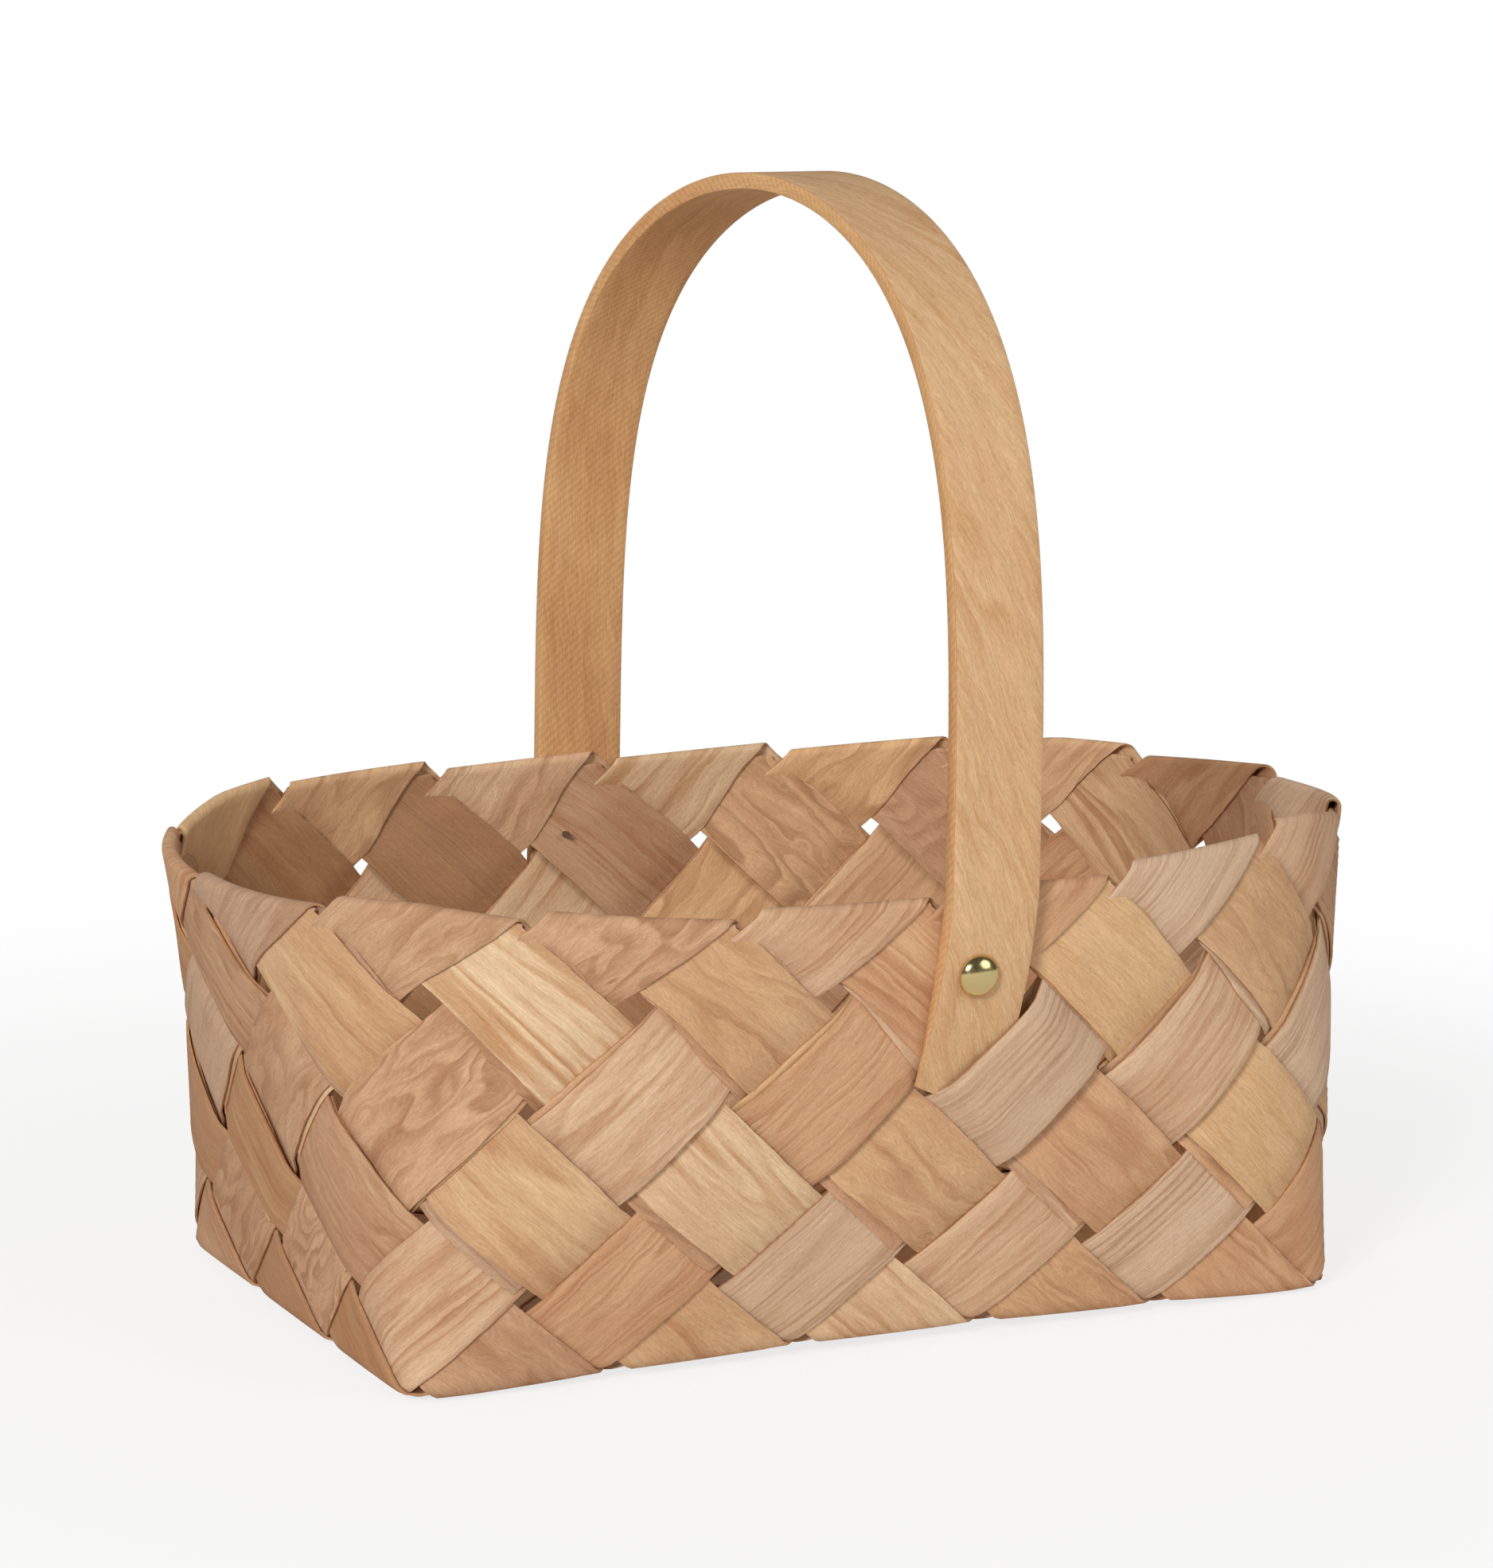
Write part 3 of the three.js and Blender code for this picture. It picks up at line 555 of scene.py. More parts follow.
class Strip:
    """One strip of the weave, from its folded end in one wall over the base to the other"""

    def __init__(self, lattice, slope, offset, seed):
        self.lattice = lattice
        self.slope = slope
        self.offset = offset
        self.rng = np.random.default_rng(seed)
        inner = np.linspace(-1, 1, ACROSS - 1) * (1 - EDGE_INSET / lattice.pitch / lattice.half)
        self.shares = np.concatenate([[-1], inner, [1]])

    def span(self):
        """Where the strip comes onto the base and leaves it, in cells from the left."""
        lattice = self.lattice
        if self.slope > 0:
            return max(0, -self.offset), min(lattice.long, lattice.short - self.offset)
        return max(0, self.offset - lattice.short), min(lattice.long, self.offset)

    def leg(self, x, way):
        """Its leg in the wall that it meets at a place of the base's edge."""
        y = self.offset + self.slope * x
        return Leg(self.lattice, self.shares, edge_x(self.lattice, x, y), way * self.edge_move(x, y))

    def edge_move(self, x, y):
        """The way that a strip which goes on to the right moves along the wall there."""
        if abs(y) < TINY:
            return 1
        if abs(y - self.lattice.short) < TINY:
            return -1
        return self.slope if abs(x - self.lattice.long) < TINY else -self.slope

    def rows(self):
        """All rows, from one folded end to the other."""
        lattice, slope = self.lattice, self.slope
        start, end = self.span()
        first, last = self.leg(start, 1), self.leg(end, -1)
        steps = int(round(2 * (end - start)))
        levels = [BODY_LEVELS[first.kind][-1]]
        for k in range(1, steps):
            outer = (abs((start + k / 2) % 1 - 0.5) < TINY) == (slope > 0)
            levels.append(BASE_LEVEL if outer else -BASE_LEVEL)
        levels.append(BODY_LEVELS[last.kind][-1])
        bows = [WALL_BOWS[-1], *[BASE_BOW] * (steps - 1), WALL_BOWS[-1]]
        tau = self.shares * lattice.half
        count = steps * (ALONG + 1)
        middle = []
        for i in range(1, count):
            u = i / count
            p = steps * u + (first.fx + (last.fx - first.fx) * u) * tau
            x = np.clip(start + p / 2 + slope * tau / 2, 0, lattice.long)
            y = np.clip(self.offset + slope * start + slope * p / 2 - tau / 2, 0, lattice.short)
            h = heights(lattice, levels, bows, p, lattice.half)
            point, out = lattice.base_frame(x, y)
            run = lattice.pitch * (WALL_ROWS + p)
            middle.append((point + out * h[:, None], out, run, lattice.pitch * tau))
        whole = lattice.pitch * (2 * WALL_ROWS + steps)
        back = []
        for points, outs, run, across in reversed(last.rows()):
            back.append((points[::-1], outs[::-1], whole - run[::-1], -across[::-1]))
        return first.rows() + middle + back

    def mesh(self, name):
        """The strip as a closed sheet, thinner at its edges, with its long edges a little uneven."""
        points, outs, run, across = (np.array(values) for values in zip(*self.rows()))
        skin = np.full(points.shape[:2], self.lattice.skin)
        skin[:, [0, -1]] *= EDGE_THIN
        skin[[0, -1]] *= CUT_THIN
        aside = unit(np.gradient(points, axis=1))
        for column in (0, -1):
            wobble = self.edge_wobble(run[:, ACROSS // 2])
            points[:, column] += aside[:, column] * wobble[:, None]
        return solid_sheet(name, points, unit(outs), skin, run, across)

    def edge_wobble(self, run):
        """Slow and fine unevenness of a long edge."""
        total = np.zeros_like(run)
        for length, height in EDGE_WAVES:
            phase = self.rng.uniform(0, 2 * math.pi)
            total += height * MM * np.sin(run / (length * MM) * 2 * math.pi + phase)
        return total


def edge_x(lattice, x, y):
    """Place along the rim of a point of the base's edge."""
    if abs(y) < TINY:
        return x + 0.5
    if abs(x - lattice.long) < TINY:
        return 0.5 + lattice.long + y
    if abs(y - lattice.short) < TINY:
        return 0.5 + lattice.long + lattice.short + (lattice.long - x)
    return 0.5 + lattice.around - y


def solid_sheet(name, points, outs, skin, run, across):
    """A closed sheet from a grid of middle points, with its grain's own coordinates as UVs.
    Faces of the rim round the sheet take the second material."""
    rows, cols = points.shape[:2]
    total = rows * cols
    raised = outs * skin[..., None]
    verts = np.concatenate([(points + raised).reshape(-1, 3), (points - raised).reshape(-1, 3)])
    verts[:, 2] = np.maximum(verts[:, 2], 0)  # the basket's weight presses its base flat
    i, j = np.meshgrid(np.arange(rows - 1), np.arange(cols - 1), indexing="ij")
    a = (i * cols + j).ravel()
    b, c, d = a + 1, a + cols + 1, a + cols
    k = np.arange(rows - 1) * cols
    left = np.stack([k, k + total, k + cols + total, k + cols], 1)
    k = k + cols - 1
    right = np.stack([k, k + cols, k + cols + total, k + total], 1)
    m = np.arange(cols - 1)
    first = np.stack([m, m + 1, m + 1 + total, m + total], 1)
    m = m + (rows - 1) * cols
    last = np.stack([m, m + total, m + 1 + total, m + 1], 1)
    rim = np.concatenate([left, right, first, last])
    faces = np.concatenate([np.stack([a, d, c, b], 1), np.stack([a, b, c, d], 1) + total, rim])
    slots = np.zeros(len(faces), np.int32)
    slots[-len(rim) :] = 1
    uvs = np.stack([run.ravel(), across.ravel()], 1)
    mesh = bpy.data.meshes.new(name)
    mesh.from_pydata(verts.tolist(), [], faces.tolist())
    return finished(mesh, STRIP_SHARP, slots, np.concatenate([uvs, uvs]))


def finished(mesh, sharp, slots=None, uvs=None):
    """The mesh smooth up to a sharp angle in degrees. Where its points have UVs, its faces have
    slots too."""
    if uvs is not None:
        corners = np.zeros(len(mesh.loops), np.int32)
        mesh.loops.foreach_get("vertex_index", corners)
        layer = mesh.uv_layers.new(name="grain")
        layer.data.foreach_set("uv", uvs[corners].astype(np.float32).ravel())
        mesh.polygons.foreach_set("material_index", slots)
    mesh.polygons.foreach_set("use_smooth", np.ones(len(mesh.polygons), bool))
    mesh.update()
    mesh.validate()
    mesh.set_sharp_from_angle(angle=math.radians(sharp))
    return mesh


def new_piece(name, mesh, materials):
    """An object at the origin with these materials."""
    obj = bpy.data.objects.new(name, mesh)
    bpy.context.scene.collection.objects.link(obj)
    for material in materials:
        mesh.materials.append(material)
    return obj


# Materials


def add_node(tree, kind, values):
    """Adds a node and sets its properties and inputs. A value written as (node, output) is
    linked from there."""
    made = tree.nodes.new(kind)
    for key, value in values.items():
        if isinstance(value, tuple) and isinstance(value[0], bpy.types.Node):
            tree.links.new(value[0].outputs[value[1]], made.inputs[key])
        elif isinstance(key, str) and hasattr(made, key):
            setattr(made, key, value)
        else:
            made.inputs[key].default_value = value
    return made


def maths(tree, operation, *values, clamp=False):
    """The result of a calculation with up to three values."""
    settings = {"operation": operation, "use_clamp": clamp, **dict(enumerate(values))}
    return add_node(tree, "ShaderNodeMath", settings), "Value"


def ranged(tree, value, start, end, low=0.0, high=1.0, ease="LINEAR"):
    """A value brought from the range start to end to the range low to high."""
    span = {"From Min": start, "From Max": end, "To Min": low, "To Max": high}
    settings = {"interpolation_type": ease, "Value": value, **span}
    return add_node(tree, "ShaderNodeMapRange", settings), "Result"


def mixed(tree, share, first, second, blend="MIX"):
    """A colour between two, or blended from them."""
    settings = {"data_type": "RGBA", "blend_type": blend, 0: share, 6: first, 7: second}
    return add_node(tree, "ShaderNodeMix", settings), 2


def mapped(tree, place, scale, turn=0.0, move=(0, 0, 0)):
    """Coordinates scaled, turned by some degrees and moved."""
    settings = {"Scale": scale, "Rotation": (0, 0, math.radians(turn)), "Location": move}
    return add_node(tree, "ShaderNodeMapping", {"Vector": place, **settings}), "Vector"


def noise(tree, place, scale, detail, roughness):
    """A soft noise at a place."""
    settings = {"Scale": scale, "Detail": detail, "Roughness": roughness}
    return add_node(tree, "ShaderNodeTexNoise", {"Vector": place, **settings}), "Fac"


def new_material(name):
    """An empty material and its node tree."""
    material = bpy.data.materials.new(name)
    material.use_nodes = True
    tree = material.node_tree
    tree.nodes.clear()
    return material, tree


def surface(tree, values):
    """Gives the material a surface with these values."""
    shader = add_node(tree, "ShaderNodeBsdfPrincipled", values)
    add_node(tree, "ShaderNodeOutputMaterial", {"Surface": (shader, "BSDF")})


class Wood(NamedTuple):
    """How one strip's wood looks, with linear colours and lengths in millimetres"""

    ground: tuple
    vein: tuple  # colour of the growth lines
    veining: float  # its share in them
    stretch: float  # length of a figure along the grain
    spread: float  # and across it
    rings: float  # growth lines over a figure
    wiggle: float  # how far the growth lines wander
    pink: float  # share of the pinker, browner stretches
    slant: float = 0.0  # degrees from the piece's length to the grain
    saw_marks: float = 0.0  # distance between the ridges left by the saw, 0 for none


class Grain(NamedTuple):
    """A noise over wood"""

    along: float  # figures to a millimetre
    across: float
    detail: float
    roughness: float
    turn: float = 0.0  # degrees off the grain


WANDER = Grain(0.05, 0.16, 2.0, 0.6)  # by which the growth lines are pushed about
WANDER_LENGTH = 4.0  # mm between its extremes at a wiggle of 1
FADING = Grain(0.02, 0.12, 2.0, 0.5)  # by which the growth lines fade and grow
TONES = Grain(0.018, 0.06, 3.5, 0.6)
FIBRES = Grain(0.14, 2.6, 4.0, 0.65, 3)
FUZZ = Grain(0.9, 3.4, 4.0, 0.75, -12)
FIGURE_DETAIL = 1.0
FIGURE_ROUGHNESS = 0.35
LINE_DARKENS = (0.1, 0.88)  # shares of the way from one growth line to the next, over which the
LINE_ENDS = (1.0, 0.84)  # wood grows dark, and over which the dark ends
LINES_GROW = (0.36, 0.62)  # of the fading noise, from the faintest growth lines to the clearest
FAINT_LINES = 0.12  # share of their strength left where the growth lines fade
PINK_GROWS = (0.4, 0.62)  # of the noise of tones, from none of the pinker tint to all
PINK_TINT = (*linear("dcc0b2"), 1)
FIBRE_RANGE = (0.7, 1.3)  # of the fibres' two noises together, from a dark fibre to a pale one
DARK_FIBRE = (0.8, 0.745, 0.69, 1)  # factors on the ground's red, green and blue
PALE_FIBRE = (1.18, 1.23, 1.28, 1)
FIBRE_BUMP = {"Strength": 0.7, "Distance": 0.2 * MM}
SAW_TURN = -50  # degrees from the handle's length
SAW_PAINTED_SHADE_AND_LIGHT = (0.94, 1.07)  # brightness of a groove as painted shade and of a ridge as painted light
SAW_HEIGHT = 0.15  # of a ridge, against the fibres
SAW_WAVER = {"Distortion": 0.4, "Detail": 1.0, "Detail Scale": 0.6}
RAW_SURFACE = {"IOR": 1.5, "Roughness": 0.8, "Specular IOR Level": 0.3}
NEXT_PLACE = (91.7, 37.3, 17.1)  # mm from one seed's stretch of wood to the next seed's
TO_MM = (1000, 1000, 1000)


def grain_noise(tree, place, grain):
    """The noise of a kind of grain."""
    stretched = mapped(tree, place, (grain.along, grain.across, 1), grain.turn)
    return noise(tree, stretched, 1.0, grain.detail, grain.roughness)


def fibre_wood(name, wood, seed, far=None):
    """Knife-cut wood left raw: growth lines that darken slowly and end sharply, pinker stretches,
    and short raised fibres along the grain that make it look soft and catch the light."""
    material, tree = new_material(name)
    ground = (*wood.ground, 1)
    uv = add_node(tree, "ShaderNodeUVMap", {"uv_map": "grain"}), "UV"
    place = mapped(tree, uv, TO_MM, wood.slant, tuple(seed * step for step in NEXT_PLACE))

    # Growth lines: contours of a long soft figure, pushed about by a finer wander
    wander = maths(tree, "SUBTRACT", grain_noise(tree, place, WANDER), 0.5)
    aside = maths(tree, "MULTIPLY", wander, wood.wiggle * WANDER_LENGTH)
    push = add_node(tree, "ShaderNodeCombineXYZ", {"Y": aside}), "Vector"
    pushed = add_node(tree, "ShaderNodeVectorMath", {"operation": "ADD", 0: place, 1: push}), "Vector"
    figure_grain = Grain(1 / wood.stretch, 1 / wood.spread, FIGURE_DETAIL, FIGURE_ROUGHNESS)
    figure = maths(tree, "MULTIPLY", grain_noise(tree, pushed, figure_grain), wood.rings)
    turn = maths(tree, "FRACT", figure)
    slow = ranged(tree, turn, *LINE_DARKENS, ease="SMOOTHSTEP")
    sharp = ranged(tree, turn, *LINE_ENDS, ease="SMOOTHSTEP")
    fading = grain_noise(tree, place, FADING)
    clear = ranged(tree, fading, *LINES_GROW, FAINT_LINES * wood.veining, wood.veining)
    line = maths(tree, "MULTIPLY", maths(tree, "MULTIPLY", slow, sharp), clear, clamp=True)
    if far:
        # Painted shade and painted light: towards the strip's other end, which lies inside the basket, the
        # ground colour turns to one given per strip, darker as painted shade and lighter as painted light
        colour, begin, end = far
        apart = add_node(tree, "ShaderNodeSeparateXYZ", {"Vector": uv}), "X"
        shade_and_light_share = ranged(tree, apart, begin, end, ease="SMOOTHSTEP")
        ground = mixed(tree, shade_and_light_share, ground, (*linear(colour), 1))
    lined = mixed(tree, line, ground, (*wood.vein, 1))

    # Pinker and browner stretches
    pinker = ranged(tree, grain_noise(tree, pushed, TONES), *PINK_GROWS, 0.0, wood.pink)
    toned = mixed(tree, pinker, lined, PINK_TINT, "MULTIPLY")

    # Fibres: hair-fine streaks a few millimetres long, some of them raised and leaning aside
    height = maths(tree, "ADD", grain_noise(tree, pushed, FIBRES), grain_noise(tree, place, FUZZ))
    tint = mixed(tree, ranged(tree, height, *FIBRE_RANGE), DARK_FIBRE, PALE_FIBRE)
    tinted = {"operation": "MULTIPLY", 0: toned, 1: tint}
    coloured = add_node(tree, "ShaderNodeVectorMath", tinted), "Vector"

    if wood.saw_marks:
        # Fine slanting ridges that the saw left, bumped, with painted shade in their grooves and painted
        # light on their ridges
        bands = {"bands_direction": "Y", "Scale": math.pi / 10 / wood.saw_marks, **SAW_WAVER}
        across_saw = mapped(tree, uv, TO_MM, SAW_TURN)
        marks = add_node(tree, "ShaderNodeTexWave", {"Vector": across_saw, **bands}), "Fac"
        shaded = {"operation": "SCALE", 0: coloured, "Scale": ranged(tree, marks, 0.0, 1.0, *SAW_PAINTED_SHADE_AND_LIGHT)}
        coloured = add_node(tree, "ShaderNodeVectorMath", shaded), "Vector"
        height = maths(tree, "MULTIPLY_ADD", marks, SAW_HEIGHT, height)

    bump = add_node(tree, "ShaderNodeBump", {"Height": height, **FIBRE_BUMP}), "Normal"
    surface(tree, {"Base Color": coloured, "Normal": bump, **RAW_SURFACE})
    return material


SCUFFS = (900.0, 4.0, 0.6)  # scale, detail and roughness of a noise
SCUFF_RANGE = (0.3, 0.7)
SCUFF_BUMP = {"Strength": 0.15, "Distance": 0.05 * MM}
BRASS_ROUGHNESS = (0.12, 0.26)
STEEL_DULLING = (2500.0, 2.0, 0.5)
STEEL_ROUGHNESS = (0.3, 0.5)


def pressed_brass(name, colour):
    """Pressed and polished brass: a bright warm mirror with faint scuffs that blur it."""
    material, tree = new_material(name)
    place = add_node(tree, "ShaderNodeTexCoord", {}), "Object"
    scuffs = noise(tree, place, *SCUFFS)
    rough = ranged(tree, scuffs, *SCUFF_RANGE, *BRASS_ROUGHNESS)
    bump = add_node(tree, "ShaderNodeBump", {"Height": scuffs, **SCUFF_BUMP}), "Normal"
    surface(tree, {"Base Color": (*colour, 1), "Metallic": 1.0, "Roughness": rough, "Normal": bump})
    return material


def drawn_steel(name, colour):
    """Drawn steel wire of a nail: grey, with a fine unevenness that dulls its shine."""
    material, tree = new_material(name)
    place = add_node(tree, "ShaderNodeTexCoord", {}), "Object"
    rough = ranged(tree, noise(tree, place, *STEEL_DULLING), 0.0, 1.0, *STEEL_ROUGHNESS)
    surface(tree, {"Base Color": (*colour, 1), "Metallic": 1.0, "Roughness": rough})
    return material


# The strips' woods, as they look on the near wall: ground, growth lines, their share, length and
# width of a figure, lines over it, wander, and share of pinker stretches

STREAKED_CREAM = Wood(linear("dfbf98"), linear("b47a48"), 0.75, 150, 9, 8, 0.8, 0.3)
WARM_TAN = Wood(linear("d1a87e"), linear("ab7850"), 0.55, 70, 13, 9, 2.3, 0.3)
PLAIN_HONEY = Wood(linear("d8b083"), linear("c0905a"), 0.3, 150, 14, 5, 1.0, 0.15)
PART_STREAKED = Wood(linear("d6b187"), linear("b07a4e"), 0.58, 140, 14, 7, 1.0, 0.5)
ORANGE_TAN = Wood(linear("d3a77f"), linear("ab7148"), 0.52, 120, 9, 8, 1.2, 0.4)
PINK_FIGURED = Wood(linear("cea37f"), linear("98643f"), 0.58, 38, 13, 11, 2.8, 0.25)
PALE_STREAKED = Wood(linear("dab794"), linear("b0794f"), 0.62, 140, 8, 8, 0.8, 0.5)
FINE_LINED = Wood(linear("d6b798"), linear("a67c5a"), 0.6, 170, 4, 6, 0.4, 0.25)
BROWN_PINK = Wood(linear("c79e7b"), linear("98683f"), 0.5, 60, 12, 9, 2.2, 0.5)

# Each strip's wood, and the ground colour of its far end, seen inside the basket: painted shade where it
# is darker than the wood's ground and painted light where it is lighter
STRIP_WOODS = {
    "strip_right_1": (ORANGE_TAN, "e4bd92"),
    "strip_right_2": (WARM_TAN, "ecc190"),
    "strip_right_3": (STREAKED_CREAM, None),
    "strip_right_4": (PART_STREAKED, None),
    "strip_right_5": (BROWN_PINK, None),
    "strip_right_6": (PALE_STREAKED, "e2c096"),
    "strip_right_7": (PINK_FIGURED, None),
    "strip_right_8": (BROWN_PINK, "e2b78c"),
    "strip_left_1": (ORANGE_TAN, "c0946a"),
    "strip_left_2": (FINE_LINED, "ba8c66"),
    "strip_left_3": (PALE_STREAKED, "c79f7c"),
    "strip_left_4": (FINE_LINED, "c4a184"),
    "strip_left_5": (ORANGE_TAN, None),
    "strip_left_6": (PLAIN_HONEY, "e2ba8c"),
    "strip_left_7": (WARM_TAN, "e4b98c"),
    "strip_left_8": (BROWN_PINK, "e6c19a"),
}
HALF_SHADE_AND_LIGHT_FADE = 30 * MM  # from the middle of the strip's length to where the painted shade and light of its far end is whole
CUT_SEED = 40  # apart from the seeds of the strips' faces


class BASKET_OT_strips(bpy.types.Operator):
    """Plaits the wood strips of the base and walls"""

    bl_idname = "basket.strips"
    bl_label = "Plaited Strips"

    def execute(self, context):
        sizes = context.scene.basket_weave
        edge = tuple(context.scene.basket_colours.cut_edge)
        lattice = Lattice(sizes)
        seed = 0
        for side, slope in (("right", 1), ("left", -1)):
            for i in range(sizes.cells_long + sizes.cells_short):
                seed += 1
                offset = i + 0.5 - (sizes.cells_long if slope > 0 else 0)
                strip = Strip(lattice, slope, offset, seed)
                node = f"strip_{side}_{i + 1}"
                wood, far_painted_shade_and_light = STRIP_WOODS[node]
                # The far end's ground colour is painted shade and painted light of the basket's inside
                far = None
                if far_painted_shade_and_light:
                    start, end = strip.span()
                    middle = lattice.pitch * (WALL_ROWS + end - start)
                    far = (far_painted_shade_and_light, middle - slope * HALF_SHADE_AND_LIGHT_FADE, middle + slope * HALF_SHADE_AND_LIGHT_FADE)
                face = fibre_wood(f"Knife-cut wood {side} {i + 1}", wood, seed, far)
                cut_wood = wood._replace(ground=edge)
                cut = fibre_wood(f"Cut edge {side} {i + 1}", cut_wood, seed + CUT_SEED)
                name = f"veneer_{side}_{i + 1}"
                piece = new_piece(name, strip.mesh(name), [face, cut])
                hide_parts(node)
                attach(piece, BODY)
        return {"FINISHED"}


# Handle

FOOT_DEPTH = 1.12  # cells below the rim where the middle of the foot's end lies
FOOT_INSET = 12.6 * MM  # from the middle of the crossing over a foot to the leg's middle
FOOT_LEAN = 5.0 * MM  # of both feet to the left
FOOT_SLANT = -5.0 * MM  # how far the slanted end runs off square, each way
FOOT_SLANT_FADE = 6 * MM  # along the handle
FOOT_PARED = 0.62  # cells above the crossing over a foot up to which it is pared
FOOT_CLEARANCE = 0.15 * MM
SHOULDER_SQUARENESS = 3.6
CROWN_SQUARENESS = 2.0
FOOT_STEPS = 16
ARCH_STEPS = 70
RING_STEP = 1.6 * MM  # between the handle's sections
SMOOTHINGS = 6
FACE_STEPS = 10  # columns of faces across the handle
EDGE_FALL = 0.35  # share of half the thickness by which a face rounds off at its edges
GRAIN_HALF = 1.7 * MM  # half the thickness, for the grain's coordinates on the sides
HANDLE_SHARP = 50  # degrees
HANDLE_SEED = 77
INSIDE_SEED = 78


def handle_half(lattice, sizes):
    """Half the handle seen from its edge, from the near foot up to the crown: y, z, thickness."""
    off = OUTER_LEVEL * lattice.layer + lattice.skin + FOOT_CLEARANCE
    foot_x = FOOT_CROSSING[0] - FOOT_INSET / lattice.cell
    path = []
    for i in range(FOOT_STEPS + 1):
        z = -FOOT_DEPTH * (1 - i / FOOT_STEPS)
        share = min(max((z - FOOT_CROSSING[1]) / FOOT_PARED, 0), 1)
        thick = sizes.foot_thickness + (sizes.thickness - sizes.foot_thickness) * share
        wall = lattice.plain_wall(foot_x, z)
        path.append((float(wall[1]) - off - thick / 2, float(wall[2]), thick))
    rim_y, rim_z = path[-1][:2]
    for i in range(1, ARCH_STEPS + 1):
        t = math.pi / 2 * i / ARCH_STEPS
        up = math.sin(t) ** (2 / SHOULDER_SQUARENESS)
        across = max(math.cos(t), 0) ** (2 / CROWN_SQUARENESS)
        path.append((rim_y * across, rim_z + up * sizes.rise, sizes.thickness))
    path[-1] = (0.0, *path[-1][1:])
    return path


def even_path(values, spacing):
    """The path sampled again at even steps, and the lengths run to them."""
    values = np.array(values)
    run = np.concatenate([[0], np.cumsum(np.hypot(np.diff(values[:, 0]), np.diff(values[:, 1])))])
    at = np.linspace(0, run[-1], int(run[-1] / spacing) + 1)
    return np.stack([np.interp(at, run, column) for column in values.T], 1), at


def handle_mesh(lattice, sizes, name):
    """The handle as a closed bar through sections along its arch."""
    half = handle_half(lattice, sizes)
    low_z = half[0][1]
    rim_y, rim_z = half[FOOT_STEPS][:2]
    far = [(-y, z, t) for y, z, t in reversed(half[:-1])]
    path, run = even_path(half + far, RING_STEP)
    for _ in range(SMOOTHINGS):
        inner = (path[:-2] + 2 * path[1:-1] + path[2:]) / 4
        path[1:-1, :2] = inner[:, :2]
    y, z, thick = path.T
    tangent = unit(np.stack([np.zeros_like(y), np.gradient(y), np.gradient(z)], 1))
    outward = np.stack([np.zeros_like(y), -tangent[:, 2], tangent[:, 1]], 1)
    lean = FOOT_LEAN * np.clip((rim_z - z) / (rim_z - low_z), 0, None)
    crown = sizes.crown_shift * np.maximum(0, 1 - (y / rim_y) ** 2)
    leg_x = (FOOT_CROSSING[0] - (lattice.long + 1) / 2) * lattice.cell - FOOT_INSET
    x = leg_x * (y / rim_y) + sizes.shift + crown - lean
    wide = sizes.width / 2
    section = section_ring(wide, sizes.edge_round)
    verts, uvs = [], []
    for i in range(len(path)):
        way = -1 if i < len(path) / 2 else 1
        slant = -way * math.exp(-min(run[i], run[-1] - run[i]) / FOOT_SLANT_FADE)
        for across, out, round_length in section:
            slide = slant * FOOT_SLANT * across / wide
            place = np.array([x[i] + across, y[i], z[i]])
            verts.append(place + outward[i] * out * thick[i] / 2 + tangent[i] * slide)
            uvs.append((run[i], round_length))
    return ring_mesh(name, verts, np.array(uvs), len(path), len(section))


def section_ring(wide, r):
    """The handle's section as (across, out as a share of half the thickness, length round)."""
    ring = []
    for face in (1, -1):
        for i in range(FACE_STEPS + 1):
            across = -wide + r + (2 * wide - 2 * r) * i / FACE_STEPS
            ring.append((across * face, face))
        for degrees, out in ((30, face), (60, face), (60, -face), (30, -face)):
            a = math.radians(degrees)
            ring.append((face * (wide - r + r * math.sin(a)), out * (1 - EDGE_FALL * (1 - math.cos(a)))))
    section = [(*ring[0], 0.0)]
    for (x0, out0), (x1, out1) in zip(ring, ring[1:]):
        step = math.hypot(x1 - x0, (out1 - out0) * GRAIN_HALF)
        section.append((x1, out1, section[-1][2] + step))
    return section


def ring_mesh(name, verts, uvs, rings, sides):
    """A closed bar through rings of points, capped at both ends. Its outer face takes the first
    material and all else the second."""
    faces = []
    for i in range(rings - 1):
        for k in range(sides):
            a, b = i * sides + k, i * sides + (k + 1) % sides
            faces.append((a, a + sides, b + sides, b))
    faces.append(tuple(range(sides)))
    last = (rings - 1) * sides
    faces.append(tuple(last + k for k in reversed(range(sides))))
    slots = [int(k >= FACE_STEPS) for k in range(sides)] * (rings - 1) + [1, 1]
    mesh = bpy.data.meshes.new(name)
    mesh.from_pydata(verts, [], faces)
    return finished(mesh, HANDLE_SHARP, slots, uvs)


class BASKET_OT_handle(bpy.types.Operator):
    """Bends the wood handle over the basket"""

    bl_idname = "basket.handle"
    bl_label = "Bent Handle"

    def execute(self, context):
        lattice = Lattice(context.scene.basket_weave)
        colours = context.scene.basket_colours
        vein = tuple(colours.handle_grain)
        outside = Wood(tuple(colours.handle_ground), vein, 0.5, 70, 9, 6, 1.5, 0.12, slant=24)
        inside = Wood(tuple(colours.handle_inside), vein, 0.4, 90, 9, 4, 1.2, 0.4, slant=5, saw_marks=1.5)
        sanded = fibre_wood("Sanded bent wood", outside, HANDLE_SEED)
        inner = fibre_wood("Sawn bent wood", inside, INSIDE_SEED)
        mesh = handle_mesh(lattice, context.scene.basket_handle, "bent_handle")
        piece = new_piece("bent_handle", mesh, [sanded, inner])
        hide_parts("handle")
        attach(piece, BODY)
        return {"FINISHED"}


# Nails

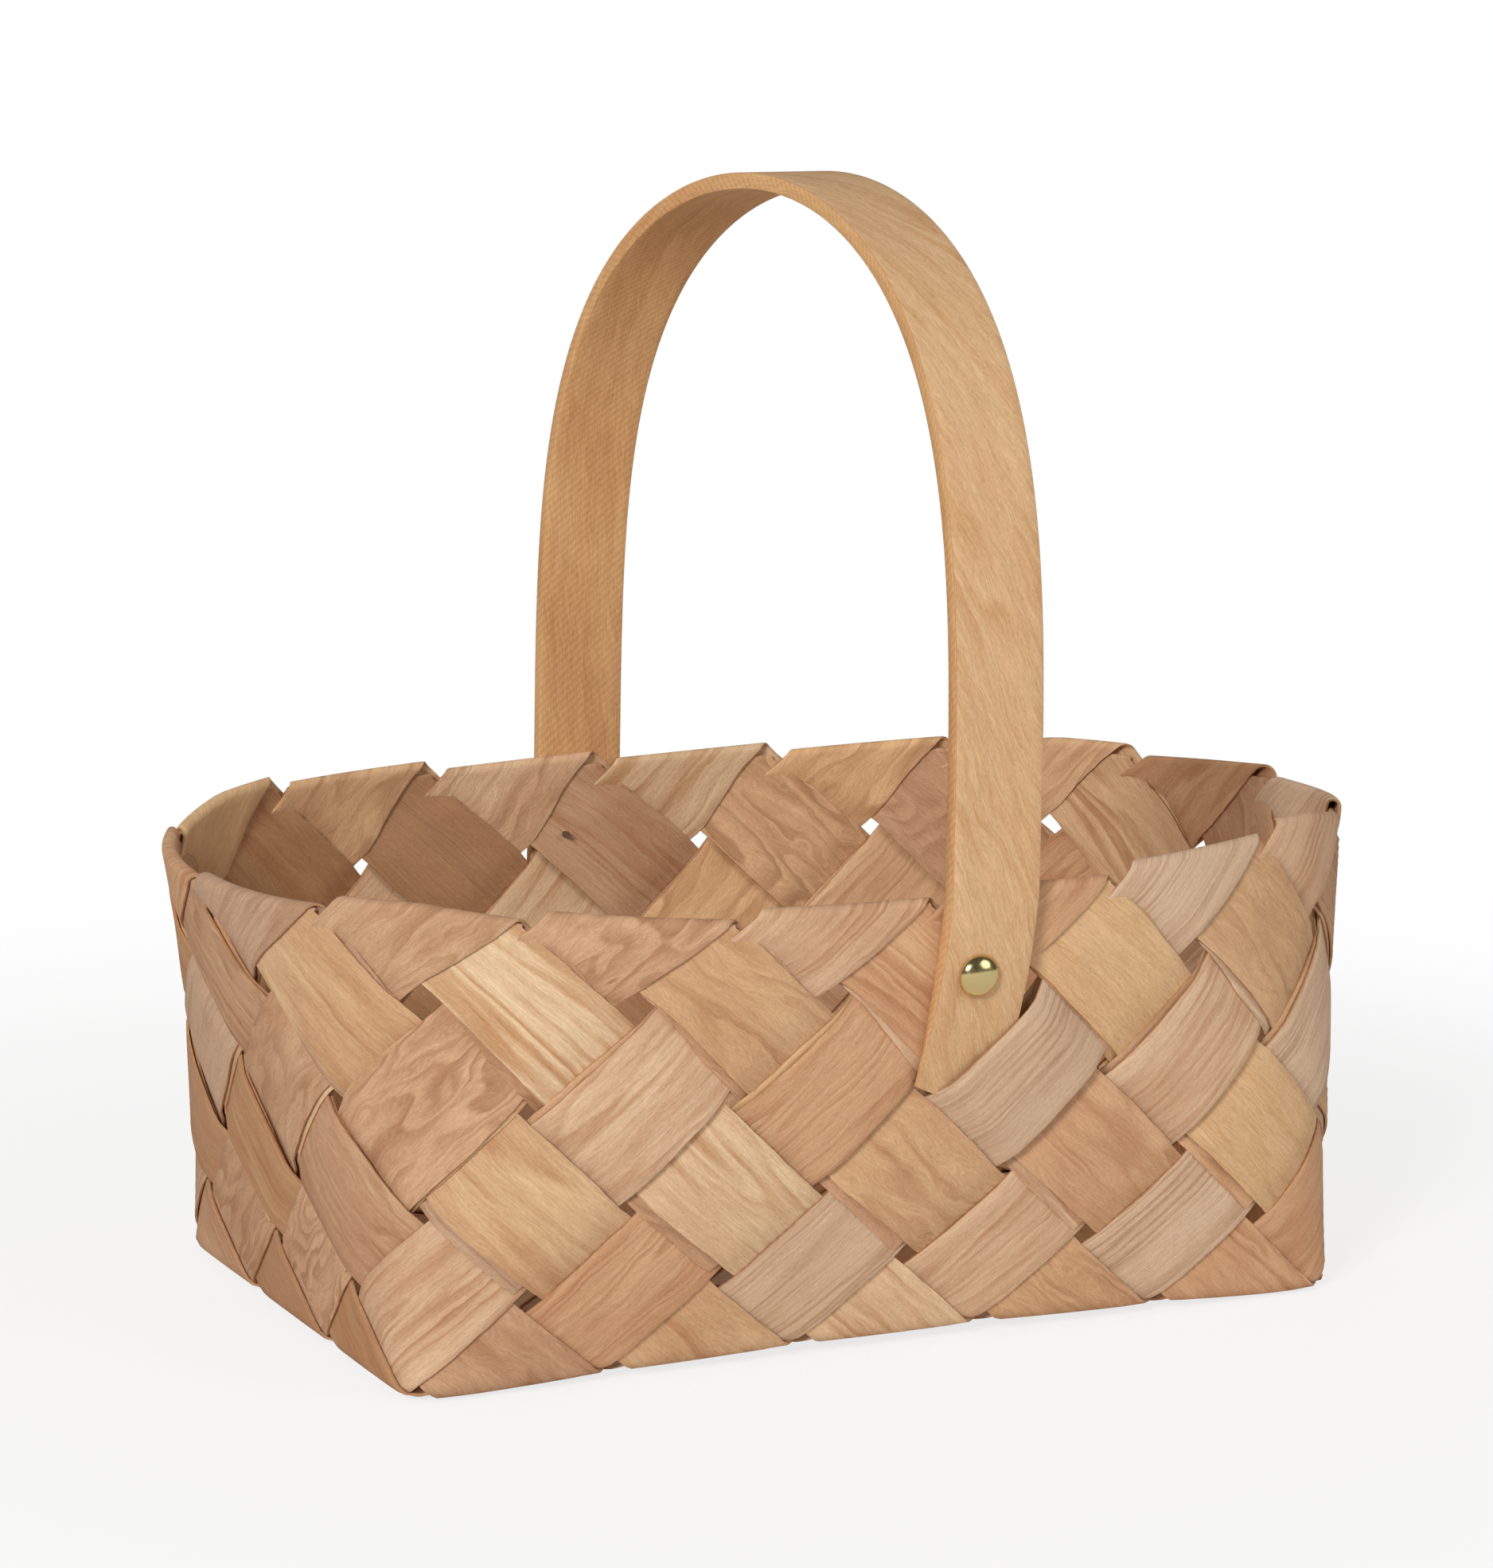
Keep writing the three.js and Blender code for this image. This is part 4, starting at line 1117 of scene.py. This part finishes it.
NAIL_LEAN = math.radians(5.4)
DOME_STEPS = 14
TURNED_SIDES = 48
TURNED_SHARP = 40  # degrees
MERGE_DISTANCE = 1e-6
HEAD_ROOM = 0.2 * MM  # between the nail's head and the cap's inside
HEAD_HEIGHT = 0.5 * MM
POINT_LENGTH = 2 * MM
POINT_BLUNT = (0.16, 0.04 * MM)  # radius as a share of the shank's, and how far from the tip


def turned_mesh(name, profile, at, way):
    """A closed solid turned about an axis, from radii and heights along it."""
    turn = Vector((0, 0, 1)).rotation_difference(way)
    verts, faces = [], []
    for radius, height in profile:
        for k in range(TURNED_SIDES):
            angle = 2 * math.pi * k / TURNED_SIDES
            spot = Vector((radius * math.cos(angle), radius * math.sin(angle), height))
            verts.append(at + turn @ spot)
    for i in range(len(profile) - 1):
        for k in range(TURNED_SIDES):
            a, b = i * TURNED_SIDES + k, i * TURNED_SIDES + (k + 1) % TURNED_SIDES
            faces.append((a, b, b + TURNED_SIDES, a + TURNED_SIDES))
    mesh = bpy.data.meshes.new(name)
    mesh.from_pydata(verts, [], faces)
    work = bmesh.new()
    work.from_mesh(mesh)
    bmesh.ops.remove_doubles(work, verts=work.verts, dist=MERGE_DISTANCE)
    bmesh.ops.recalc_face_normals(work, faces=work.faces)
    work.to_mesh(mesh)
    work.free()
    return finished(mesh, TURNED_SHARP)


def nail_axis(side, sizes):
    """Middle of a cap's underside and the way the nail points out, from the frame's own box."""
    low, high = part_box(f"dome_{side}")
    sign = 1 if side == "far" else -1
    way = Vector((0, sign * math.cos(NAIL_LEAN), -math.sin(NAIL_LEAN)))
    under = (low.y if side == "far" else -high.y) + sizes.dome_diameter / 2 * math.sin(NAIL_LEAN)
    return Vector(((low.x + high.x) / 2, sign * under, (low.z + high.z) / 2)), way


def dome_profile(sizes):
    """A hollow cap, from the middle of its inside round its edge to its top."""
    r, h, w = sizes.dome_diameter / 2, sizes.dome_height, sizes.dome_wall
    profile = []
    for i in range(DOME_STEPS + 1):
        t = math.pi / 2 * i / DOME_STEPS
        profile.append(((r - w) * math.sin(t), (h - w) * math.cos(t)))
    profile.append((r - w / 2, 0))
    for i in range(1, DOME_STEPS + 1):
        t = math.pi / 2 * (1 - i / DOME_STEPS)
        profile.append((r * math.sin(t), h * math.cos(t)))
    return profile


def nail_profile(sizes):
    """A small head under the cap, the shank and its pointed end inside the basket."""
    r = sizes.nail_diameter / 2
    top = sizes.dome_height - sizes.dome_wall - HEAD_ROOM
    neck = top - HEAD_HEIGHT
    tip = -sizes.nail_length
    share, above = POINT_BLUNT
    point = [(0, tip), (r * share, tip + above), (r, tip + POINT_LENGTH)]
    return [*point, (r, neck), (2 * r, neck), (2 * r, top), (0, top)]


class BASKET_OT_nails(bpy.types.Operator):
    """Presses the brass caps and finishes the steel nails"""

    bl_idname = "basket.nails"
    bl_label = "Domed Nails"

    def execute(self, context):
        colours = context.scene.basket_colours
        sizes = context.scene.basket_nails
        brass = pressed_brass("Pressed brass", tuple(colours.brass))
        steel = drawn_steel("Drawn steel", tuple(colours.steel))
        for side in ("near", "far"):
            at, way = nail_axis(side, sizes)
            for kind, node, slot, profile, material in (
                ("brass_cap", "dome", "brass", dome_profile(sizes), brass),
                ("steel_nail", "nail", "steel", nail_profile(sizes), steel),
            ):
                mesh = turned_mesh(f"{kind}_{side}", profile, at, way)
                piece = new_piece(f"{kind}_{side}", mesh, [material])
                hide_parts(f"{node}_{side}")
                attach(piece, BODY)
        return {"FINISHED"}


# Stage

CAMERA_AT = (-0.5127, -1.0392, 0.3334)
CAMERA_FORWARD = (0.43147, 0.88229, -0.18812)
CAMERA_UP = (0.06704, 0.17659, 0.98200)
CAMERA_LENS = 121.08  # mm, on a sensor of this width
CAMERA_SENSOR = 36
CAMERA_CLIP = 0.01
# Name, place, diameter in metres and power in watts of each lamp
LAMPS = (
    ("key", (-2.9, -2.6, 2.0), 1.2, 124.0),
    ("fill", (1.2, -1.6, 1.0), 1.4, 10.0),
    ("back", (0.3, 1.4, 1.6), 1.2, 4.0),
)
LAMPS_AIM = (0, 0, 0.08)
ROOM_LIGHT = 0.3
MIRRORED_LIGHT = 0.1
WHITE = (1, 1, 1, 1)
FLOOR_HALF = 4.0
FLOOR_DROP = 0.4 * MM
FLOOR_FADE = (0.16, 0.5)  # metres from the middle between which the floor turns white to the eye
FLOOR_WHITE = 0.78  # how white it already is near the basket
UNDER_BASKET = (0.107, 0.055)  # half sizes of the floor under the basket, which isn't whitened


class BASKET_OT_stage(bpy.types.Operator):
    """Sets up the camera, the pale floor and the soft studio light"""

    bl_idname = "basket.stage"
    bl_label = "Studio Stage"

    def execute(self, context):
        scene = context.scene
        scene.view_settings.view_transform = "Standard"
        self.camera(scene)
        self.floor(scene)
        self.lamps(scene)
        self.world(scene)
        return {"FINISHED"}

    def camera(self, scene):
        """The camera of the photograph."""
        data = bpy.data.cameras.new("camera")
        data.sensor_width = CAMERA_SENSOR
        data.lens = CAMERA_LENS
        data.clip_start = CAMERA_CLIP
        obj = bpy.data.objects.new("camera", data)
        forward = Vector(CAMERA_FORWARD).normalized()
        right = forward.cross(Vector(CAMERA_UP)).normalized()
        turn = Matrix((right, right.cross(forward), -forward)).transposed()
        obj.matrix_world = Matrix.Translation(CAMERA_AT) @ turn.to_4x4()
        scene.collection.objects.link(obj)
        scene.camera = obj

    def floor(self, scene):
        """White paper that keeps soft shadows near the basket and is blank further off."""
        mesh = bpy.data.meshes.new("floor")
        w = FLOOR_HALF
        mesh.from_pydata([(-w, -w, 0), (w, -w, 0), (w, w, 0), (-w, w, 0)], [], [(0, 1, 2, 3)])
        floor = bpy.data.objects.new("floor", mesh)
        floor.location.z = -FLOOR_DROP
        scene.collection.objects.link(floor)
        material, tree = new_material("White paper")
        place = add_node(tree, "ShaderNodeTexCoord", {}), "Object"
        far = add_node(tree, "ShaderNodeVectorMath", {"operation": "LENGTH", 0: place}), "Value"
        fade = ranged(tree, far, *FLOOR_FADE, FLOOR_WHITE, 1.0, ease="SMOOTHERSTEP")
        apart = add_node(tree, "ShaderNodeSeparateXYZ", {"Vector": place})
        outside = [
            maths(tree, "GREATER_THAN", maths(tree, "ABSOLUTE", (apart, axis)), half)
            for axis, half in zip("XY", UNDER_BASKET)
        ]
        faded = maths(tree, "MULTIPLY", maths(tree, "MAXIMUM", *outside), fade)
        path = add_node(tree, "ShaderNodeLightPath", {}), "Is Camera Ray"
        seen = maths(tree, "MULTIPLY", path, faded)
        colour = (*scene.basket_colours.floor, 1)
        paper = add_node(tree, "ShaderNodeBsdfDiffuse", {"Color": colour}), "BSDF"
        white = add_node(tree, "ShaderNodeEmission", {"Color": WHITE, "Strength": 1.0}), "Emission"
        shader = add_node(tree, "ShaderNodeMixShader", {0: seen, 1: paper, 2: white}), "Shader"
        add_node(tree, "ShaderNodeOutputMaterial", {"Surface": shader})
        mesh.materials.append(material)

    def lamps(self, scene):
        """A key lamp high on the left, a weak fill and a weaker one from behind."""
        for name, at, size, power in LAMPS:
            data = bpy.data.lights.new(name, "AREA")
            data.shape = "DISK"
            data.size = size
            data.energy = power
            lamp = bpy.data.objects.new(name, data)
            lamp.location = at
            aim = Vector(LAMPS_AIM) - Vector(at)
            lamp.rotation_euler = aim.to_track_quat("-Z", "Y").to_euler()
            scene.collection.objects.link(lamp)

    def world(self, scene):
        """White to the eye, a weaker light on the pieces and the weakest in their shine."""
        world = bpy.data.worlds.new("studio")
        world.use_nodes = True
        tree = world.node_tree
        tree.nodes.clear()
        room, mirrored, white = (
            (add_node(tree, "ShaderNodeBackground", {"Color": WHITE, "Strength": strength}), "Background")
            for strength in (ROOM_LIGHT, MIRRORED_LIGHT, 1.0)
        )
        path = add_node(tree, "ShaderNodeLightPath", {})
        lit = add_node(tree, "ShaderNodeMixShader", {0: (path, "Is Glossy Ray"), 1: room, 2: mirrored})
        parts = {0: (path, "Is Camera Ray"), 1: (lit, "Shader"), 2: white}
        shader = add_node(tree, "ShaderNodeMixShader", parts), "Shader"
        add_node(tree, "ShaderNodeOutputWorld", {"Surface": shader})
        scene.world = world


class BASKET_PT_panel(bpy.types.Panel):
    """Sizes, colours and buttons of the basket"""

    bl_idname = "BASKET_PT_panel"
    bl_label = "Plaited Storage Basket"
    bl_space_type = "VIEW_3D"
    bl_region_type = "UI"
    bl_category = "Basket"

    def draw(self, context):
        layout = self.layout
        for name in GROUPS:
            group = getattr(context.scene, name)
            box = layout.box()
            for prop in group.bl_rna.properties:
                if not prop.is_readonly and prop.identifier != "name":
                    box.prop(group, prop.identifier)
        for operator in OPERATORS:
            layout.operator(operator.bl_idname)


GROUPS = {
    "basket_weave": WeaveSizes,
    "basket_handle": HandleSizes,
    "basket_nails": NailSizes,
    "basket_colours": BasketColours,
}
OPERATORS = (BASKET_OT_stage, BASKET_OT_strips, BASKET_OT_handle, BASKET_OT_nails)
CLASSES = (*GROUPS.values(), *OPERATORS, BASKET_PT_panel)


def register():
    for cls in CLASSES:
        bpy.utils.register_class(cls)
    for name, group in GROUPS.items():
        setattr(bpy.types.Scene, name, PointerProperty(type=group))


def unregister():
    for name in GROUPS:
        delattr(bpy.types.Scene, name)
    for cls in reversed(CLASSES):
        bpy.utils.unregister_class(cls)


def main():
    register()
    bpy.ops.basket.stage()
    bpy.ops.basket.strips()
    bpy.ops.basket.handle()
    bpy.ops.basket.nails()


if __name__ == "__main__":
    main()
